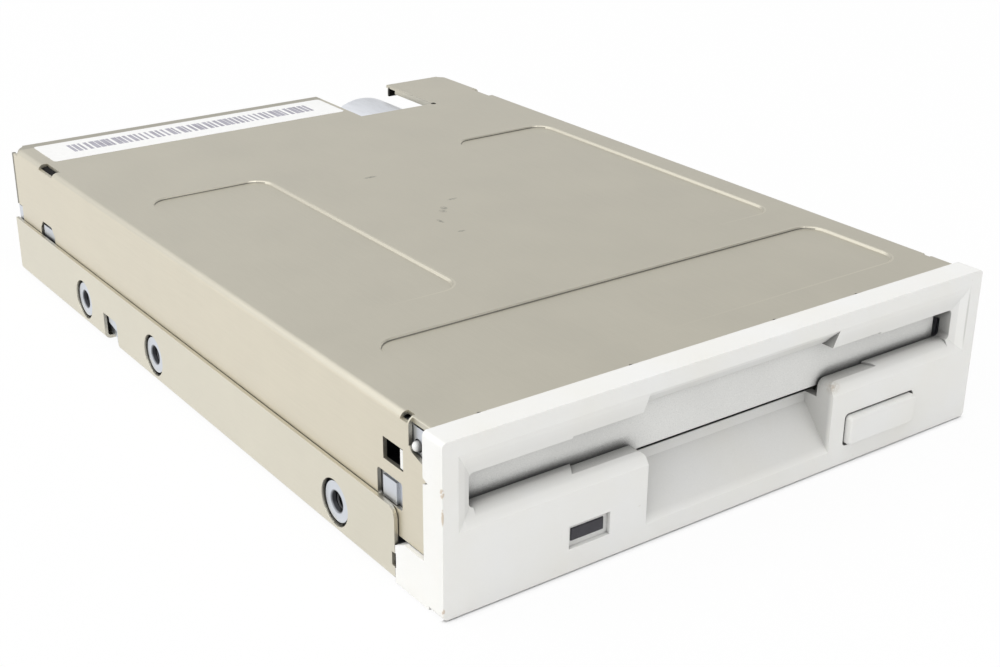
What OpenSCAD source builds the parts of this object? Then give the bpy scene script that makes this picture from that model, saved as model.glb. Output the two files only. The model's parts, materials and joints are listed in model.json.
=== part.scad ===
// Floppy disk drive for a slim three and a half inch bay.
// Lengths are in millimetres. X runs to the right, Y to the rear and Z up.
// Inside the modules Y is counted from the bezel's front face; placed() moves that to the part's origin.

/* [Overall] */
// Width over the bezel and the bottom shield
body_w = 101.6; // [100:0.2:106]
// Height of the bezel
body_h = 25.4; // [25.2:0.1:28]
// Depth from the bezel's front face to the rear edges
body_depth = 150; // [149.5:0.5:165]

/* [Sheet metal] */
// Thickness of cover, shield, carrier and slide plate
sheet_t = 0.6; // [0.4:0.05:0.7]
// Outer radius of the long bends
bend_r = 1.1; // [0.8:0.1:1.6]
// Gap between sheets that nest in each other
fit_gap = 0.1; // [0.05:0.05:0.3]
// Height of the shield's upper edge
seam_z = 11.1; // [10.6:0.1:13]
// Distance of the shield's front edge behind the bezel's face
shield_front = 11.4; // [10.5:0.1:13]
// Radius of the shield's upper front corners
shield_corner_r = 1.8; // [1:0.1:3]
// How far the cover lies below the bezel's top
cover_drop = 0.2; // [0.1:0.05:0.4]
// How far the cover's sides reach down behind the shield
cover_lap = 2.0; // [1:0.1:2.6]
// Lower edge of the cover's front tongues
tongue_z = 6.9; // [6.6:0.1:7.6]
// Depth of the sunk panels in the cover
panel_sink = 0.35; // [0.3:0.05:0.6]
// Corner radius of the sunk panels
panel_r = 3.5; // [2:0.1:6]
// Radius of the shield's holes round the side bosses
shield_hole_r = 3.6; // [3.4:0.05:4.2]

/* [Cover cut-outs] */
// Left edge of the rear notch over the head motor
notch_x0 = 16.9; // [15:0.1:19]
// Right edge of the rear notch
notch_x1 = 34.8; // [33:0.1:37]
// Depth of the rear notch from the cover's rear edge
notch_d = 18.5; // [14:0.1:20]
// How far the folded edges reach down
fold_h = 2.4; // [1.5:0.1:2.8]
// Depth of the edge folded down beside the notch
edge_h = 1.4; // [1.2:0.1:2]
// Cut across the rear corners
corner_cut = 2.0; // [1:0.1:3]
// How far the cover's top stops short of the sides at the rear
top_short = 0.9; // [0.5:0.1:2]

/* [Bezel] */
// Thickness of the bezel's face
plate_t = 3.3; // [3:0.1:3.6]
// Depth of the rim round the bezel
rim_d = 4.4; // [4.2:0.1:5]
// Width of that rim
rim_w = 2.0; // [1.5:0.1:2.4]
// Corner radius of the bezel's outline
bezel_r = 0.7; // [0.4:0.1:1.2]
// Margin of the bevelled frame at the sides and above the slot
frame_margin = 2.4; // [2:0.1:3]
// How far the bevelled frame reaches below the slot
frame_low = 2.2; // [1.7:0.1:2.7]
// Depth of the bevel
bevel_d = 1.25; // [0.8:0.05:1.8]
// Radius of the slot's front crest
sill_r = 2.2; // [1.2:0.1:2.6]
// Radius of the face's upper corners beside the scoop
block_r = 1.2; // [0.6:0.1:1.4]
// How far the slot's floor lies above the carrier's rails
slot_rise = 0.1; // [0:0.05:0.4]
// Height of the disk slot
slot_h = 5.0; // [4.6:0.1:5.2]
// Space beside the carrier's inner faces at the slot's ends
slot_side = 0.7; // [0.4:0.1:1]
// Half length of the taller middle of the slot
mid_half = 28; // [24:0.5:34]
// How much the middle is taller at each lip
mid_step = 0.35; // [0.2:0.05:0.6]
// Gap between the lamp recess and the finger scoop
scoop_left = 6.5; // [4:0.1:10]
// Gap between the finger scoop and the eject button
scoop_right = 3.4; // [2.4:0.1:8]
// Height of the scoop's ramp at the face
scoop_front_z = 2.8; // [2.2:0.1:4]
// How far the ramp's back edge lies below the wall behind it
scoop_lip = 1.6; // [1:0.1:3]
// Depth of the scoop
scoop_d = 5.6; // [5.2:0.1:6]
// How far the wall behind the scoop ends below the slot's floor
ledge_drop = 3.3; // [2.9:0.1:3.8]
// Wall behind the scoop
scoop_wall = 1.4; // [1:0.1:1.8]
// Depth of the thumb relief in the upper lip
thumb_d = 2.6; // [2:0.1:3]
// How far the thumb relief's back edge lies above the slot
thumb_rise = 0.9; // [0.6:0.1:1.5]
// Height of the bezel's side legs
leg_z = 6.8; // [6.2:0.1:6.8]
// Thickness of the side legs
leg_t = 1.9; // [1.5:0.1:2.2]

/* [Eject button] */
// Distance of the button's middle from the bezel's right side
button_side = 21.15; // [20.4:0.05:21.9]
// Middle of the button in height
button_z = 5.7; // [5.5:0.1:6]
// Width of the button
button_w = 14.7; // [12:0.1:15.5]
// Height of the button
button_h = 4.8; // [4:0.1:5]
// Gap round the button
button_gap = 0.3; // [0.1:0.05:0.4]
// How far the button stands out of the face
button_proud = 1.2; // [0.8:0.1:2]
// Radius of the button's corners
button_r = 0.7; // [0.4:0.1:1.2]

/* [Lamp] */
// Distance of the lamp's middle from the bezel's left side
lamp_side = 23.6; // [21.8:0.1:25.8]
// Middle of the lamp recess in height
lamp_z = 5.3; // [5:0.1:5.8]
// Width of the lamp recess
lamp_w = 7.0; // [6:0.1:8]
// Height of the lamp recess
lamp_h = 3.5; // [3.2:0.1:4]
// Depth of the lamp recess
lamp_d = 0.7; // [0.4:0.1:1.2]
// Width of the lamp window
window_w = 5.6; // [4:0.1:5.8]
// Height of the lamp window
window_h = 1.9; // [1.4:0.1:2.4]
// Radius of the lamp behind the window
led_r = 1.5; // [1:0.1:1.6]

/* [Slot door] */
// Gap between the bezel's face plate and the door
door_gap = 0.5; // [0.3:0.05:0.5]
// Thickness of the door
door_t = 1.0; // [0.8:0.1:1.2]
// How far the door reaches below the slot's floor
door_low = 1.9; // [1.5:0.1:2.3]
// Hinge axis behind the bezel's face
hinge_y = 5.0; // [5:0.05:5.2]
// How far the hinge axis lies below the bezel's top
hinge_drop = 3.8; // [3.5:0.1:3.9]
// Radius of the door's hinge barrel
barrel_r = 1.3; // [1.1:0.05:1.3]
// Radius of the hinge pins
hinge_pin_r = 0.8; // [0.6:0.05:0.9]
// Running clearance of pins and shafts
run_fit = 0.05; // [0.02:0.01:0.08]

/* [Chassis] */
// Thickness of the side walls
wall_t = 2.3; // [2:0.1:2.5]
// How far the deck's underside lies below the bezel's top
deck_drop = 19.4; // [19.2:0.1:19.6]
// Thickness of the deck
deck_t = 1.5; // [1:0.1:1.6]
// Front edge of the deck
deck_front = 28; // [27.5:0.5:30]
// How much lower the side walls are behind their front ears
wall_step = 1.5; // [1.1:0.1:2.6]
// Distance of the head motor's bracket from the rear edges
rear_room = 21.8; // [21.5:0.1:23]
// Height of the side fixing holes
side_hole_z = 4.7; // [4.6:0.05:5]
// Distance of the first side hole behind the bezel's face
side_hole_y = 27; // [26:0.5:28]
// Spacing of the first two side holes, and of the bottom holes
hole_pitch = 60; // [60:0.5:61]
// Spacing of the last two side holes
hole_pitch_rear = 30; // [29:0.5:31]
// Core radius of the threaded holes
thread_r = 1.25; // [1.2:0.01:1.35]
// Length of the side bosses
side_hole_d = 6.0; // [4:0.1:6.5]
// Outer radius of the side bosses
boss_r = 3.1; // [2.6:0.05:3.2]
// How far the side bosses stop short of the shield's outer face
boss_short = 0.4; // [0.2:0.05:0.5]
// Distance of the bottom holes from the drive's sides
bottom_hole_side = 6.0; // [5.8:0.1:6.8]
// How far the bottom holes lie behind the side holes
bottom_hole_shift = 6.5; // [6.3:0.1:7.5]

/* [Eject slide] */
// Travel of the slide plate and the button
slide_travel = 6.0; // [4:0.1:6.5]
// Drop of the disk carrier over that travel
carrier_fall = 2.2; // [1.6:0.1:2.4]
// Sideways gap between slide plate and its neighbours
slide_gap = 0.3; // [0.2:0.05:0.4]
// Front edge of the slide plate at rest
slide_front = 22; // [21.5:0.5:24]
// Rear edge of the slide plate at rest
slide_rear = 100; // [98.5:0.5:102]
// Width of the slide plate's side strips
strip_w = 8.0; // [6:0.5:9]
// Length of its front bar
front_bar = 10; // [6:0.5:12]
// Radius of the carrier's pins
cam_pin_r = 1.0; // [0.8:0.05:1.1]
// Clearance round the carrier's pins and the guide studs
cam_gap = 0.2; // [0.15:0.05:0.3]

/* [Disk carrier] */
// Height of the disk bay
bay_h = 4.4; // [4.2:0.1:4.5]
// How far the carrier's rails lie above the deck at rest
bay_rise = 6.7; // [6.5:0.05:6.75]
// Front edge of the carrier
carrier_front = 15.0; // [14.7:0.1:16]
// Rear edge of the carrier
carrier_rear = 104; // [102:0.5:104.5]
// Width of the carrier's lower rails
rail_w = 3.6; // [2.5:0.1:3.8]
// Half width of the head window
window_half = 10; // [9:0.5:11]

/* [Spindle] */
// Spindle axis behind the bezel's face
spindle_y = 58; // [57:0.5:58]
// Radius of the spindle shaft
shaft_r = 2.0; // [1.5:0.05:2.2]
// Radius of the hub's table
hub_r = 14.5; // [12:0.1:15]
// Radius of the rotor
rotor_r = 22; // [20:0.1:23]
// Radius of the deck's opening round the motor
motor_hole_r = 26; // [25:0.5:27]
// How far the rotor stands above the deck
rotor_rise = 1.5; // [1.3:0.1:1.6]
// Height of the hub's table on the rotor
hub_h = 2.4; // [2:0.1:2.8]

/* [Heads] */
// Radius of the outermost track
track0_r = 39.5; // [39.5:0.1:40]
// Travel of the head carriage
head_travel = 14.8; // [12:0.1:14.8]
// Radius of the guide rod
rod_r = 1.5; // [1.2:0.05:1.6]
// Guide rod's place across the drive
rod_x = -14; // [-15:0.1:-13.5]
// Height of the guide rod above the deck
rod_rise = 2.0; // [1.9:0.1:2.3]
// Radius of the lead screw
screw_r = 1.5; // [1.2:0.05:1.7]
// Lead screw's place across the drive
screw_x = 26.5; // [26:0.1:27]
// Height of the lead screw above the deck
screw_rise = 5.1; // [4.9:0.05:5.1]
// Space between the bottom shield and the head motor's can
can_gap = 0.6; // [0.6:0.1:1.5]
// Length of the head motor's can
can_len = 16.6; // [14:0.1:17]
// How far the lowered heads meet below the carrier's rails at rest
media_low = 0.2; // [0.1:0.05:0.3]
// Gap between the lowered heads
head_gap = 0.4; // [0.3:0.05:0.6]
// How far the upper arm's tip is raised at rest
arm_rise = 5.2; // [4.8:0.05:5.3]

/* [Hidden] */
$fn = 64;
// Steps in a quarter bend, and how far cuts pass a face
bend_steps = 6;
cut = 1;
// How far the pieces of one casting or moulding run into each other
merge = 0.5;

// Places worked out from the values above
front_y = -(body_depth - button_proud) / 2;
half_w = body_w / 2;
shield_in = half_w - sheet_t;
cover_x = shield_in - fit_gap;
cover_in = cover_x - sheet_t;
cover_top = body_h - cover_drop;
cover_under = cover_top - sheet_t;
cover_front = rim_d + fit_gap;
cover_rear = body_depth - top_short;
flange_z = seam_z - cover_lap;
chassis_x = cover_in - fit_gap;
chassis_in = chassis_x - wall_t;
chassis_z = sheet_t + fit_gap;
chassis_top = cover_under - bend_r + sheet_t;
boss_face = half_w - boss_short;
wall_top = chassis_top - wall_step;
button_x = half_w - button_side;
lamp_x = lamp_side - half_w;
scoop_x0 = lamp_x + lamp_w / 2 + scoop_left;
scoop_x1 = button_x - button_w / 2 - scoop_right;
bottom_hole_x = half_w - bottom_hole_side;
deck_z = body_h - deck_drop;
deck_top = deck_z + deck_t;
bay_z = deck_top + bay_rise;
slot_z0 = bay_z + slot_rise;
slot_z1 = slot_z0 + slot_h;
frame_z0 = slot_z0 - frame_low;
frame_z1 = body_h - frame_margin;
ledge_z = slot_z0 - ledge_drop;
scoop_back_z = ledge_z - scoop_lip;
thumb_z = slot_z1 + thumb_rise;
door_z0 = slot_z0 - door_low;
hinge_z = body_h - hinge_drop;
rotor_z = deck_top + rotor_rise;
hub_z = rotor_z + hub_h;
rod_z = deck_top + rod_rise;
screw_z = deck_top + screw_rise;
can_r = screw_z - sheet_t - can_gap;
media_z = bay_z - media_low;
slide_out = chassis_in - slide_gap;
slide_in = slide_out - sheet_t;
carrier_out = slide_in - slide_gap;
carrier_in = carrier_out - sheet_t;
slot_half = carrier_in + slot_side;
frame_half = half_w - frame_margin;
door_front = plate_t + door_gap;
door_half = carrier_in - 0.2;
door_spring_x = door_half - 12.1;
ear_x0 = door_half + 0.6;
ear_x1 = chassis_in - 0.2;
bay_top = bay_z + bay_h;
carrier_top = bay_top + sheet_t;
cam_z = bay_z + bay_h / 2;
slide_z = carrier_top + 0.8;
slide_top = slide_z + sheet_t;
slide_low = bay_z - carrier_fall;
side_holes = [side_hole_y, side_hole_y + hole_pitch, side_hole_y + hole_pitch + hole_pitch_rear];
bottom_holes = [side_hole_y + bottom_hole_shift, side_hole_y + bottom_hole_shift + hole_pitch];
track0_y = spindle_y + track0_r;
back_wall_y = body_depth - rear_room;
back_wall_t = 2.8;
well_y = track0_y - 4.5;
can_front = back_wall_y + back_wall_t;
can_rear = can_front + can_len;

// Cam pins of the carrier and guide studs of the slide plate, by their distance from the front
cam_ys = [carrier_front + 18, carrier_rear - 14];
stud_ys = [carrier_front + 32, carrier_rear - 30];
stud_r = 1.0;
stud_z = slide_low + 2.2;

// Cover and shield details that both sheets or the chassis share
tab_y = [10.3, 16.4];
tab_z = [seam_z - 0.2, seam_z + 3.9];
lug_y = [102.3, 108.2];
lug_z = 5.2;
clip_y = [body_depth - 19, body_depth - 12];
clip_z = seam_z + 2.8;
bend_slot_y = clip_y + [-1.7, -2.2];
front_nicks = [-42, -17, 10, 27.2];
nick_r = 0.45;
leg_slot_z = [2.3, 4.4];
rim_notch_z = slot_z0 + 4.1;
ear_notch_y = 8.6;
ear_notch_z = hinge_z;
dome_y = 7.4;
dome_z = hinge_z;
dome_r = 0.75;
snap_y = [10.0, 14.8];
snap_z = [slot_z0 + 2.6, slot_z0 + 5.8];

// Spring anchors beside the slide plate
spring_x = carrier_in - 2.4;
spring_z = slide_top + 1.7;
spring_r = 1.2;
spring_front = carrier_front + 43;
spring_rear = slide_rear - 4;

// Slide plate's foot that takes the button's stem
foot_z = deck_top + 0.7;
foot_y = [slide_front + 11, slide_front + 18];
foot_peg_r = 1.3;
stem_w = 5;
stem_z = 4.2;

// Front board with its switches
fboard_z = chassis_z + 1.7;
fboard_t = 1.0;
fboard_half = boss_face - side_hole_d - 1.6;
fboard_y = [9, deck_front - 2];
switch_w = 6;
switch_z = bay_z - 4.2;
plunger_r = 1.2;
plunger_travel = 1.0;
plunger_x = carrier_in - rail_w - 2.4;
switch_y = carrier_front + 6;
disk_switch_x = plunger_x - 9;
plunger_foot = fboard_z + fboard_t + 2;

// Boards under the deck
mboard_z = deck_z - 2.0;
mboard_t = 1.0;
mboard_half = 24;
mboard_y = [deck_front + 2.5, spindle_y + 28];
pcb_z = chassis_z + 1.3;
pcb_t = 1.2;
pcb_top = pcb_z + pcb_t;
pcb_x1 = screw_x - can_r - 1.4;
pcb_front = spindle_y + 30;
pcb_rear = body_depth - 1;
pcb_narrow = chassis_in - 6;
pcb_wide = chassis_in - 0.6;
pcb_step_y = side_holes[2] + boss_r + 1.5;
conn_rear = body_depth - 0.5;

// Screw posts under the deck, and the screws of the front board and of the head motor
post_r = 2.2;
post_bore_r = 0.9;
screw_head_r = 1.7;
screw_head_h = 0.8;
mboard_posts = [for (x = [3 - mboard_half, mboard_half - 3], y = [mboard_y[0] + 3, mboard_y[1] - 3]) [x, y]];
deck_posts = [for (x = [5 - pcb_narrow, pcb_x1 - 5]) [x, pcb_front + 2.5]];
bracket_posts = [for (x = [5 - pcb_narrow, pcb_x1 - 5]) [x, back_wall_y + post_r + 0.2]];
pcb_posts = concat(deck_posts, bracket_posts);
fboard_screws = [for (x = [-12, 12]) [x, deck_front - 5]];
can_screws = [screw_x - 8.5, screw_x + 8.5];
can_screw_z = screw_z + 5.5;
pilot_r = 4.4;
seat_z = rod_z + rod_r + 0.2;
seat_fit = 0.02;
well_x1 = screw_x + 6.5;

// Spindle motor stations
bearing_r = shaft_r + 1.5;
bearing_z = mboard_z - 1;
bearing_top = rotor_z - 1.4;
core_bore_r = bearing_r + 1.5;
core_ring_r = bearing_r + 4;
core_r = rotor_r - 3;
core_z = [mboard_z + mboard_t + 0.9, mboard_z + mboard_t + 2.1];
coil_x = [core_ring_r + 1.5, core_r - 2.6];
coil_half = 1.5;
shaft_top = bay_z - 0.4;
drive_x = 10;
drive_r = 1.2;

// Chips on the main board: place, size and height
chips = [
  [-19, pcb_front + 10, 12, 12, 1.8], [-5, pcb_front + 12, 9, 6, 1.6], [6, pcb_front + 12, 6, 4, 1.4],
  [6, pcb_front + 20, 3, 8, 1.2], [-29, can_front + 1, 10, 2.6, 1.2]
];

// Connectors at the rear, with the places of their pins
conn_front = conn_rear - 11.5;
data_x = [-chassis_in + 0.6, 1.4];
data_mid = (data_x[0] + data_x[1]) / 2;
data_z1 = pcb_top + 8.3;
data_pitch = 2.54;
pin_half = 0.32;
data_last = floor((data_x[1] - data_x[0] - 7) / data_pitch);
data_grid = [for (i = [0 : data_last], r = [0, 1])
  [data_mid + (i - data_last / 2) * data_pitch, pcb_top + 2.95 + r * data_pitch, r]];
power_x = [data_x[1] + 0.9, pcb_x1 - 0.2];
power_pitch = (power_x[1] - power_x[0] - 3.7) / 3;
power_z1 = pcb_top + 7.6;
power_grid = [for (i = [-1.5 : 1.5]) [(power_x[0] + power_x[1]) / 2 + i * power_pitch, pcb_top + 3.6]];

// Carriage stations in front of the head motor's bracket
web_y = back_wall_y - 7.2;
web_d = 6.5;
nut_d = 3.5;
bush_r = rod_r + 1.5;
arm_y = back_wall_y - 3.7;
arm_lift = asin(arm_rise / (arm_y - track0_y + 5.5));
arm_z = media_z + 4.8;
arm_pin_r = 0.8;
arm_half = 7;
head_w = 6;
lower_arm_z = [rotor_z + 0.7, rotor_z + 2.3];
arm_plate_z = [arm_z - 2, arm_z - 0.3];
post_x = [arm_half + 0.3, arm_half + 2.3];
flag_x = rod_x - 10.5;
journal_r = 1.0;
bearing_y = [back_wall_y - 22.8, back_wall_y - 19.8];

// Shutter lever on the carrier
lever_x = strip_w - slide_out + 4.8;
lever_y = spindle_y + 8;
lever_dx = 20;
lever_dy = 18;
lever_reach = sqrt(lever_dx * lever_dx + lever_dy * lever_dy);
lever_rest = atan2(lever_dy, lever_dx);
lever_swing = 38;
lever_z = carrier_top + 0.2;
lever_t = 0.8;
lever_pin_r = 1.5;
lever_foot_r = 1.2;
lever_coil_h = 1.2;
finger_r = 1.2;

// Range of a given half width round a middle
function around(c, h) = [c - h, c + h];

// Points of an arc round a centre
function arc(c, r, a0, a1, n = bend_steps) =
  [for (i = [0 : n]) c + r * [cos(a0 + (a1 - a0) * i / n), sin(a0 + (a1 - a0) * i / n)]];

// Rectangle with round corners
function round_rect(x0, x1, y0, y1, r) = concat(
  arc([x0 + r, y0 + r], r, 180, 270), arc([x1 - r, y0 + r], r, 270, 360),
  arc([x1 - r, y1 - r], r, 0, 90), arc([x0 + r, y1 - r], r, 90, 180));

// Long hole of a given run and radius from the origin along +X
function long_hole(run, r) = concat(arc([0, 0], r, 90, 270, 12), arc([run, 0], r, -90, 90, 12));

// Channel of bent sheet: web at zero height, legs up to h
function channel(half, h, t, r) = concat(
  [[-half, h]], arc([-half + r, r], r, 180, 270), arc([half - r, r], r, 270, 360), [[half, h]],
  [[half - t, h]], arc([half - r, r], r - t, 360, 270), arc([-half + r, r], r - t, 270, 180),
  [[-half + t, h]]);

// Moves from the bezel's face to the part's origin
module placed() {
  translate([0, front_y, 0]) children();
}

// The same on the left and on the right
module both_sides() {
  children();
  mirror([1, 0, 0]) children();
}

// Block between two corners
module block(x, y, z) {
  translate([x[0], y[0], z[0]]) cube([x[1] - x[0], y[1] - y[0], z[1] - z[0]]);
}

// Outline in Y and Z, run along X
module along_x(points, x) {
  translate([x[0], 0, 0]) rotate([90, 0, 90]) linear_extrude(x[1] - x[0]) polygon(points);
}

// Outline in X and Z, run along Y
module along_y(points, y) {
  translate([0, y[1], 0]) rotate([90, 0, 0]) linear_extrude(y[1] - y[0]) polygon(points);
}

// Outline in X and Y, run along Z
module along_z(points, z) {
  translate([0, 0, z[0]]) linear_extrude(z[1] - z[0]) polygon(points);
}

// Round bars along the three axes
module bar_x(y, z, r, x) {
  translate([x[0], y, z]) rotate([0, 90, 0]) cylinder(r = r, h = x[1] - x[0]);
}
module bar_y(x, z, r, y) {
  translate([x, y[0], z]) rotate([-90, 0, 0]) cylinder(r = r, h = y[1] - y[0]);
}
module bar_z(x, y, r, z) {
  translate([x, y, z[0]]) cylinder(r = r, h = z[1] - z[0]);
}

// Sunk panel: a shallow dish with sloping edges
module dish(x, y, top, deep, slope) {
  hull() {
    along_z(round_rect(x[0], x[1], y[0], y[1], panel_r), [top - 0.01, top]);
    along_z(round_rect(x[0] + slope, x[1] - slope, y[0] + slope, y[1] - slope, panel_r - slope),
      [top - deep, top - deep + 0.01]);
  }
}

// Sunk panels of the cover: left, right and front
panels = [
  [[8.6 - half_w, -19.4], [41.1, 105]],
  [[22.3, half_w - 6.4], [39.3, 104.9]],
  [[8.7 - half_w, half_w - 6.2], [11.1, 30.8]]
];
panel_slope = 0.35;

// Side view of the cover's flange, from its front tongue to its rear corner
function flange_outline() = [
  [cover_front, tongue_z], [shield_front + 2, tongue_z], [shield_front + 2, flange_z],
  [body_depth - 2.5, flange_z], [body_depth - 2.5, clip_z], [body_depth, clip_z],
  [body_depth, cover_top - bend_r], [cover_rear, cover_top + cut], [cover_front, cover_top + cut]];

// Top cover of bent sheet with three sunk panels and an open rear notch
module top_cover() {
  color([0.72, 0.7, 0.64]) placed() difference() {
    union() {
      intersection() {
        along_y([for (p = channel(cover_x, cover_top - tongue_z, sheet_t, bend_r)) [p[0], cover_top - p[1]]],
          [cover_front, body_depth]);
        along_x(flange_outline(), [-half_w, half_w]);
      }
      for (p = panels) dish(p[0] + [-0.1, 0.1], p[1] + [-0.1, 0.1], cover_under, panel_sink, panel_slope);
      notch_flange();
      rear_fold(-cover_x + corner_cut + 1, notch_x0 - 1.5);
      rear_fold(notch_x1, cover_x - corner_cut - 1);
    }
    for (p = panels) dish(p[0], p[1], cover_top + 0.01, panel_sink, panel_slope);
    cover_notch();
    for (x = front_nicks) bar_z(x, cover_front, nick_r, [cover_under - cut, cover_top + cut]);
    both_sides() cover_side_cuts();
  }
}

// Open notch over the head motor, with a round relief in its inner right corner
module cover_notch() {
  block([notch_x0, notch_x1], [cover_rear - notch_d, body_depth + cut], [cover_under - cut, cover_top + cut]);
  bar_z(notch_x1, cover_rear - notch_d, 0.6, [cover_under - cut, cover_top + cut]);
}

// Edge folded down along the notch's right side
module notch_flange() {
  y0 = cover_rear - notch_d + 0.8;
  along_x([[y0, cover_under + 0.1], [y0 + 1, cover_top - edge_h], [cover_rear - 3, cover_top - edge_h],
    [cover_rear - 3, cover_under + 0.1]], [notch_x1, notch_x1 + sheet_t]);
}

// Edge folded down at the rear
module rear_fold(x0, x1) {
  block([x0, x1], [cover_rear - sheet_t, cover_rear], [cover_top - fold_h, cover_under + 0.1]);
}

// Windows, slots and notches in the cover's right side
module cover_side_cuts() {
  x = [cover_in - cut, half_w + cut];
  bend_x = [cover_x - 1.3, half_w + cut];
  block(x, snap_y, snap_z);
  along_x(round_rect(tab_y[0], tab_y[1], tab_z[0], tab_z[1], 0.5), x);
  along_x([[cover_front - cut, ear_notch_z - 1.9], [cover_front + 1.2, ear_notch_z - 1.6],
    [ear_notch_y - 0.6, ear_notch_z - 0.9], [ear_notch_y, ear_notch_z - 0.3],
    [ear_notch_y, cover_top + cut], [cover_front - cut, cover_top + cut]], [cover_x - 0.7, half_w + cut]);
  block(bend_x, [8.9, 10.6], [cover_top - 0.9, cover_top + cut]);
  block(bend_x - [0.5, 0], bend_slot_y, [cover_top - 0.9, cover_top + cut]);
  along_x([[clip_y[0], flange_z - cut], [clip_y[1], flange_z - cut], [clip_y[1], clip_z - 1.6],
    [clip_y[1] - 1.3, clip_z], [clip_y[0] + 1.3, clip_z], [clip_y[0], clip_z - 1.6]], x);
  along_z([[cover_x - corner_cut, body_depth + cut], [cover_x - corner_cut, cover_rear],
    [cover_x + 0.2, cover_rear - corner_cut - 0.2], [half_w + cut, cover_rear - corner_cut - 0.2],
    [half_w + cut, body_depth + cut]], [cover_top - bend_r, cover_top + cut]);
}

// Side view of the shield, with round upper front corners
function shield_outline() = concat(
  [[body_depth, -cut], [body_depth, seam_z]],
  arc([shield_front + shield_corner_r, seam_z - shield_corner_r], shield_corner_r, 90, 180),
  [[shield_front, -cut]]);

// Bottom shield of bent sheet
module bottom_shield() {
  color([0.82, 0.78, 0.7]) placed() difference() {
    intersection() {
      along_y(channel(half_w, seam_z, sheet_t, bend_r), [shield_front, body_depth]);
      along_x(shield_outline(), [-half_w - cut, half_w + cut]);
    }
    both_sides() shield_side_cuts();
    bar_z(0, spindle_y, shaft_r + 3, [-cut, sheet_t + cut]);
    for (y = [spindle_y - 20, spindle_y + 20])
      along_z([for (p = long_hole(8, 2.5)) p + [-4, y]], [-cut, sheet_t + cut]);
    along_z(round_rect(screw_x - 7, screw_x + 7, can_front + 4, can_rear - 4, 2), [-cut, sheet_t + cut]);
  }
}

// Holes and notches of the shield's right side and bottom edge
module shield_side_cuts() {
  x = [shield_in - cut, half_w + cut];
  for (y = side_holes) bar_x(y, side_hole_z, shield_hole_r, x);
  for (y = bottom_holes) bar_z(bottom_hole_x, y, shield_hole_r, [-cut, sheet_t + cut]);
  along_x([[lug_y[0], -cut], [lug_y[1], -cut], [lug_y[1], lug_z], [lug_y[0] + 0.5, lug_z],
    [lug_y[0], lug_z - 0.5]], [half_w - 3, half_w + cut]);
  block(x, [shield_front - cut, shield_front + 0.7], leg_slot_z);
  block([half_w - 2, half_w + cut], [shield_front - cut, shield_front + 0.4], [-cut, 0.7]);
  block([half_w - 1.2, half_w + cut], [39.2, 40.8], [-cut, 0.3]);
}

// Side view of the side rails: a tall ear in front, cut away below for the bezel's leg
function wall_outline() = [
  [cover_front + 0.2, leg_z + 0.3], [shield_front + 4, leg_z + 0.3], [shield_front + 4, chassis_z],
  [body_depth - 0.6, chassis_z], [body_depth - 0.6, clip_z], [body_depth - 6, wall_top],
  [deck_front, wall_top], [deck_front - 6, chassis_top], [cover_front + 0.2, chassis_top]];

// Chassis: cast deck with posts for the boards, bottom bosses and the guide rod's front seat
module chassis() {
  color([0.72, 0.74, 0.78]) placed() difference() {
    union() {
      deck();
      both_sides() for (y = bottom_holes) bottom_boss(y);
      rod_seat();
    }
    both_sides() deck_side_cuts();
    deck_cuts();
    bar_y(rod_x, rod_z, rod_r + seat_fit, [well_y - 8, well_y + cut]);
    for (p = mboard_posts) bar_z(p[0], p[1], post_bore_r, [mboard_z, deck_top - fit_gap]);
    for (p = deck_posts) bar_z(p[0], p[1], post_bore_r, [pcb_z, deck_top - fit_gap]);
    for (p = fboard_screws) bar_z(p[0], p[1], post_bore_r, [chassis_z + 0.3, fboard_z + cut]);
  }
}

// Deck between the rails, with a beam under the front board
module deck() {
  x = [-chassis_in, chassis_in];
  block(x, [deck_front, back_wall_y], [deck_z, deck_top]);
  block(x, [deck_front, deck_front + 1.5], [chassis_z, deck_z + merge]);
  block(x, [deck_front - 11, deck_front + merge], [chassis_z, fboard_z]);
  for (p = mboard_posts) bar_z(p[0], p[1], post_r, [mboard_z + mboard_t, deck_z + merge]);
  for (p = deck_posts) bar_z(p[0], p[1], post_r, [pcb_top, deck_z + merge]);
}

// Boss under the deck's right edge, flat against the rail
module bottom_boss(y) {
  intersection() {
    bar_z(bottom_hole_x, y, boss_r, [chassis_z, deck_z + merge]);
    block([0, chassis_in], around(y, boss_r + cut), [0, deck_top]);
  }
}

// Seat of the guide rod's front end
module rod_seat() {
  block(around(rod_x, 4), [well_y - 6.2, well_y - 0.5], [deck_z + merge, seat_z]);
}

// Openings in the deck: spindle motor, head carriage and button stem
module deck_cuts() {
  bar_z(0, spindle_y, motor_hole_r, [deck_z - cut, deck_top + cut]);
  block([rod_x - 6, well_x1], [well_y, back_wall_y + cut], [deck_z - cut, deck_top + cut]);
  block(around(button_x, stem_w), [deck_front - cut, foot_y[1] + 3], [stem_z - 0.3, deck_top + cut]);
}

// Tapped bottom holes, and room for the rail's bosses in the deck's right edge
module deck_side_cuts() {
  for (y = bottom_holes) bar_z(bottom_hole_x, y, thread_r, [chassis_z - cut, deck_top + cut]);
  for (y = side_holes) block([boss_face - side_hole_d - fit_gap, chassis_in + cut], around(y, boss_r + fit_gap),
    [chassis_z - cut, deck_top + cut]);
}

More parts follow.
